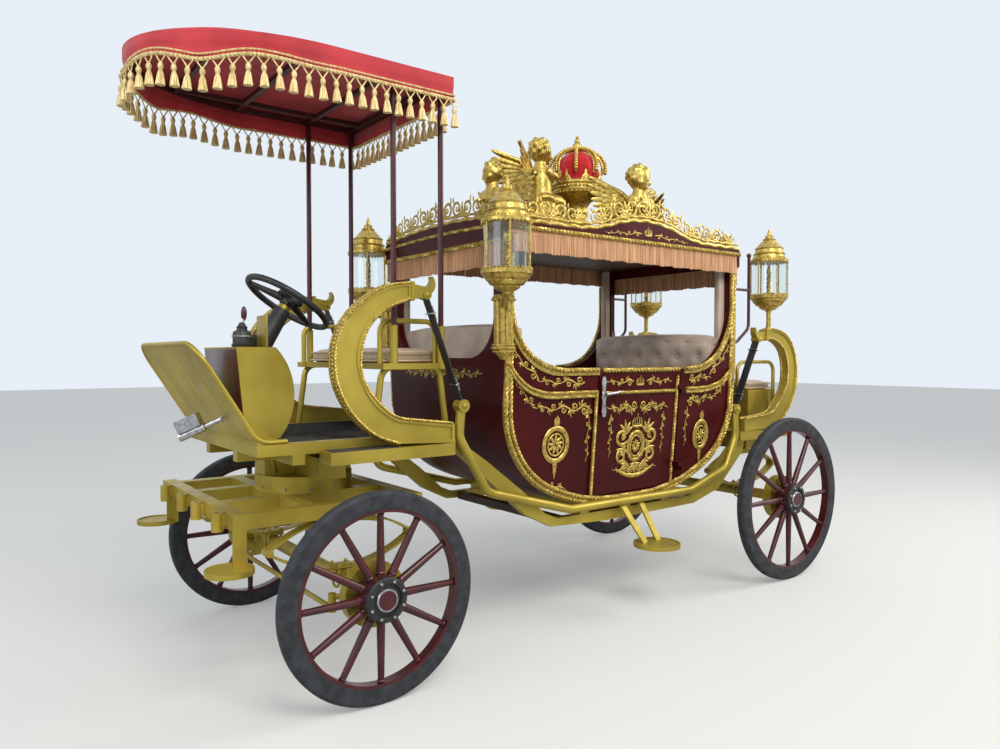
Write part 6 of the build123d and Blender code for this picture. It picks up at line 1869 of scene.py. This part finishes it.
stick = bars([[(*(pot_place + Vector((0, 0, 0.098))), 0.0045),
               (*(pot_place + Vector((-0.010, -0.004, 0.122))), 0.0045)]], sides=2, smooth=3)
settle(joined([ring, stick]), "console_lever_rod", "bare_steel")
knob = ball(pot_place + Vector((-0.010, -0.005, 0.136)), (0.012, 0.012, 0.030), 16)
settle(knob, "console_lever_knob", "maroon_paint")
plate = pad_block((front_x(0.233), 0.086, CONSOLE_TOP + 0.001),
                  (front_x(0.239), 0.202, CONSOLE_TOP + 0.131), 0.0025)
settle(plate, "console_dash_plate", "gold_paint")

boss = lathe([(0, 0.010), (0.052, 0.012), (0.060, 0.020), (0.058, 0.030), (0.044, 0.038), (0.020, 0.041),
              (0, 0.041)], steps=32)
spokes = []
for angle in (90, 210, 330):
    along, across = math.cos(math.radians(angle)), math.sin(math.radians(angle))
    spokes.append([(reach * along, reach * across, z, radius)
                   for reach, z, radius in ((0.030, 0.010, 0.020), (0.100, 0.004, 0.013),
                                            (0.182, 0.0, 0.0115))])
boss = joined([boss, bars(spokes, sides=3, smooth=5)])
boss.data.transform(tilt)
settle(boss, "steering_wheel_boss", "black_plastic", "steering_wheel")

# %% [markdown]
# The deck has a ribbed rubber covering, and the boxes beside it have a plain mat let into their tops. The
# ribs are long low bars, so they catch the light.

# %% Deck ribs and mats
RIBS_ON_DECK = 38
DECK_HALF = 0.375
ribs = []
for number in range(RIBS_ON_DECK):
    y = -DECK_HALF + 2 * DECK_HALF * number / (RIBS_ON_DECK - 1)
    ribs.append([(front_x(-0.490), y, 0.9628, 0.0032), (front_x(0.236), y, 0.9628, 0.0032)])
settle(bars(ribs, sides=0, smooth=False), "deck_ribs", "deck_rubber")
mat = pad_block((front_x(-0.186), 0.444, 0.9285), (front_x(0.102), 0.528, 0.9315), 0.001)
settle(both_sides(mat), "box_mats", "deck_rubber")

# %% [markdown]
# The door handle is bright metal: a shaped plate with a keyhole and a lever. The piece in the frame is
# right in its outline but belongs to the painted door, so a polished cover is set over it.

# %% Door handles
HANDLE_X = body_x(0.218)
HANDLE_FACE = 0.5275
PLATE_HALF = 0.101
handle = add_primitive("cylinder", vertices=48, radius=0.016, depth=0.005)
for spot in handle.data.vertices:
    angle = math.atan2(spot.co.y, spot.co.x)
    height = PLATE_HALF * math.sin(angle)
    width = 0.0165 - 0.006 * abs(math.sin(height * 44))
    spot.co.x = math.copysign(width * min(1.0, abs(math.cos(angle)) * 3.2), math.cos(angle))
    spot.co.y = height
handle.data.transform(moved(HANDLE_X, HANDLE_FACE, 1.096) @ turned(90, "X"))
face_out(handle)
apply_modifier(handle, "BEVEL", width=0.0012, segments=2)
rose = lathe([(0, 0), (0.014, 0.0005), (0.016, 0.004), (0.011, 0.009), (0.009, 0.018), (0, 0.018)], steps=24)
rose.data.transform(moved(HANDLE_X, HANDLE_FACE + 0.001, 1.109) @ turned(-90, "X"))
LEVER = (
    # back from the plate's middle, out of its face, height, radius
    (0.0, 0.016, 1.109, 0.0088), (0.030, 0.018, 1.113, 0.0082),
    (0.072, 0.018, 1.113, 0.0072), (0.096, 0.016, 1.120, 0.0080),
)
lever = bars([[(HANDLE_X - back, HANDLE_FACE + out, z, radius) for back, out, z, radius in LEVER]],
             sides=3, smooth=6)
settle_pair(joined([handle, rose, lever]), "door_handle", "bare_steel", body="door")
# The keyhole is an opening in the plate: a black bar stands in for the shade inside it, so its black is
# painted shade.
keyhole = bars([[(HANDLE_X, 0.5305, 1.054, 0.0036), (HANDLE_X, 0.5305, 1.044, 0.0022)]], sides=2,
               smooth=False)
settle_pair(keyhole, "keyhole", "black_plastic", body="door")

# %% [markdown]
# Inside, the corner posts are padded in pleated tan leather, and the ceiling is lined in a dark cloth. Both
# show through the wide windows.

# %% Padded trim inside
trim_parts = []
for x_low, x_high in ((-0.800, -0.752), (0.752, 0.800)):
    trim_parts.append(pad_block((body_x(x_low), 0.446, 1.330), (body_x(x_high), 0.4865, 1.868), 0.012))
    for share in (0.25, 0.5, 0.75):
        x = body_x(x_low + (x_high - x_low) * share)
        trim_parts.append(bars([[(x, 0.4465, 1.345, 0.006), (x, 0.4465, 1.866, 0.006)]], sides=2,
                               smooth=False))
trim = both_sides(joined(trim_parts))
settle(trim, "inside_trim", "tan_leather", angle=60)
head_lining = pad_block((body_x(-0.795), -0.480, 1.868), (body_x(0.795), 0.480, 1.8785), 0.004)
settle(head_lining, "head_lining", "brown_frame")

# %% [markdown]
# This last cell counts the triangles added and prints the count.

# %% Finish
added = [thing for thing in bpy.data.objects if thing.type == "MESH" and thing.name not in cad_names]
triangles = sum(len(face.vertices) - 2 for thing in added for face in thing.data.polygons)
print("pieces added:", len(added), "triangles:", triangles)
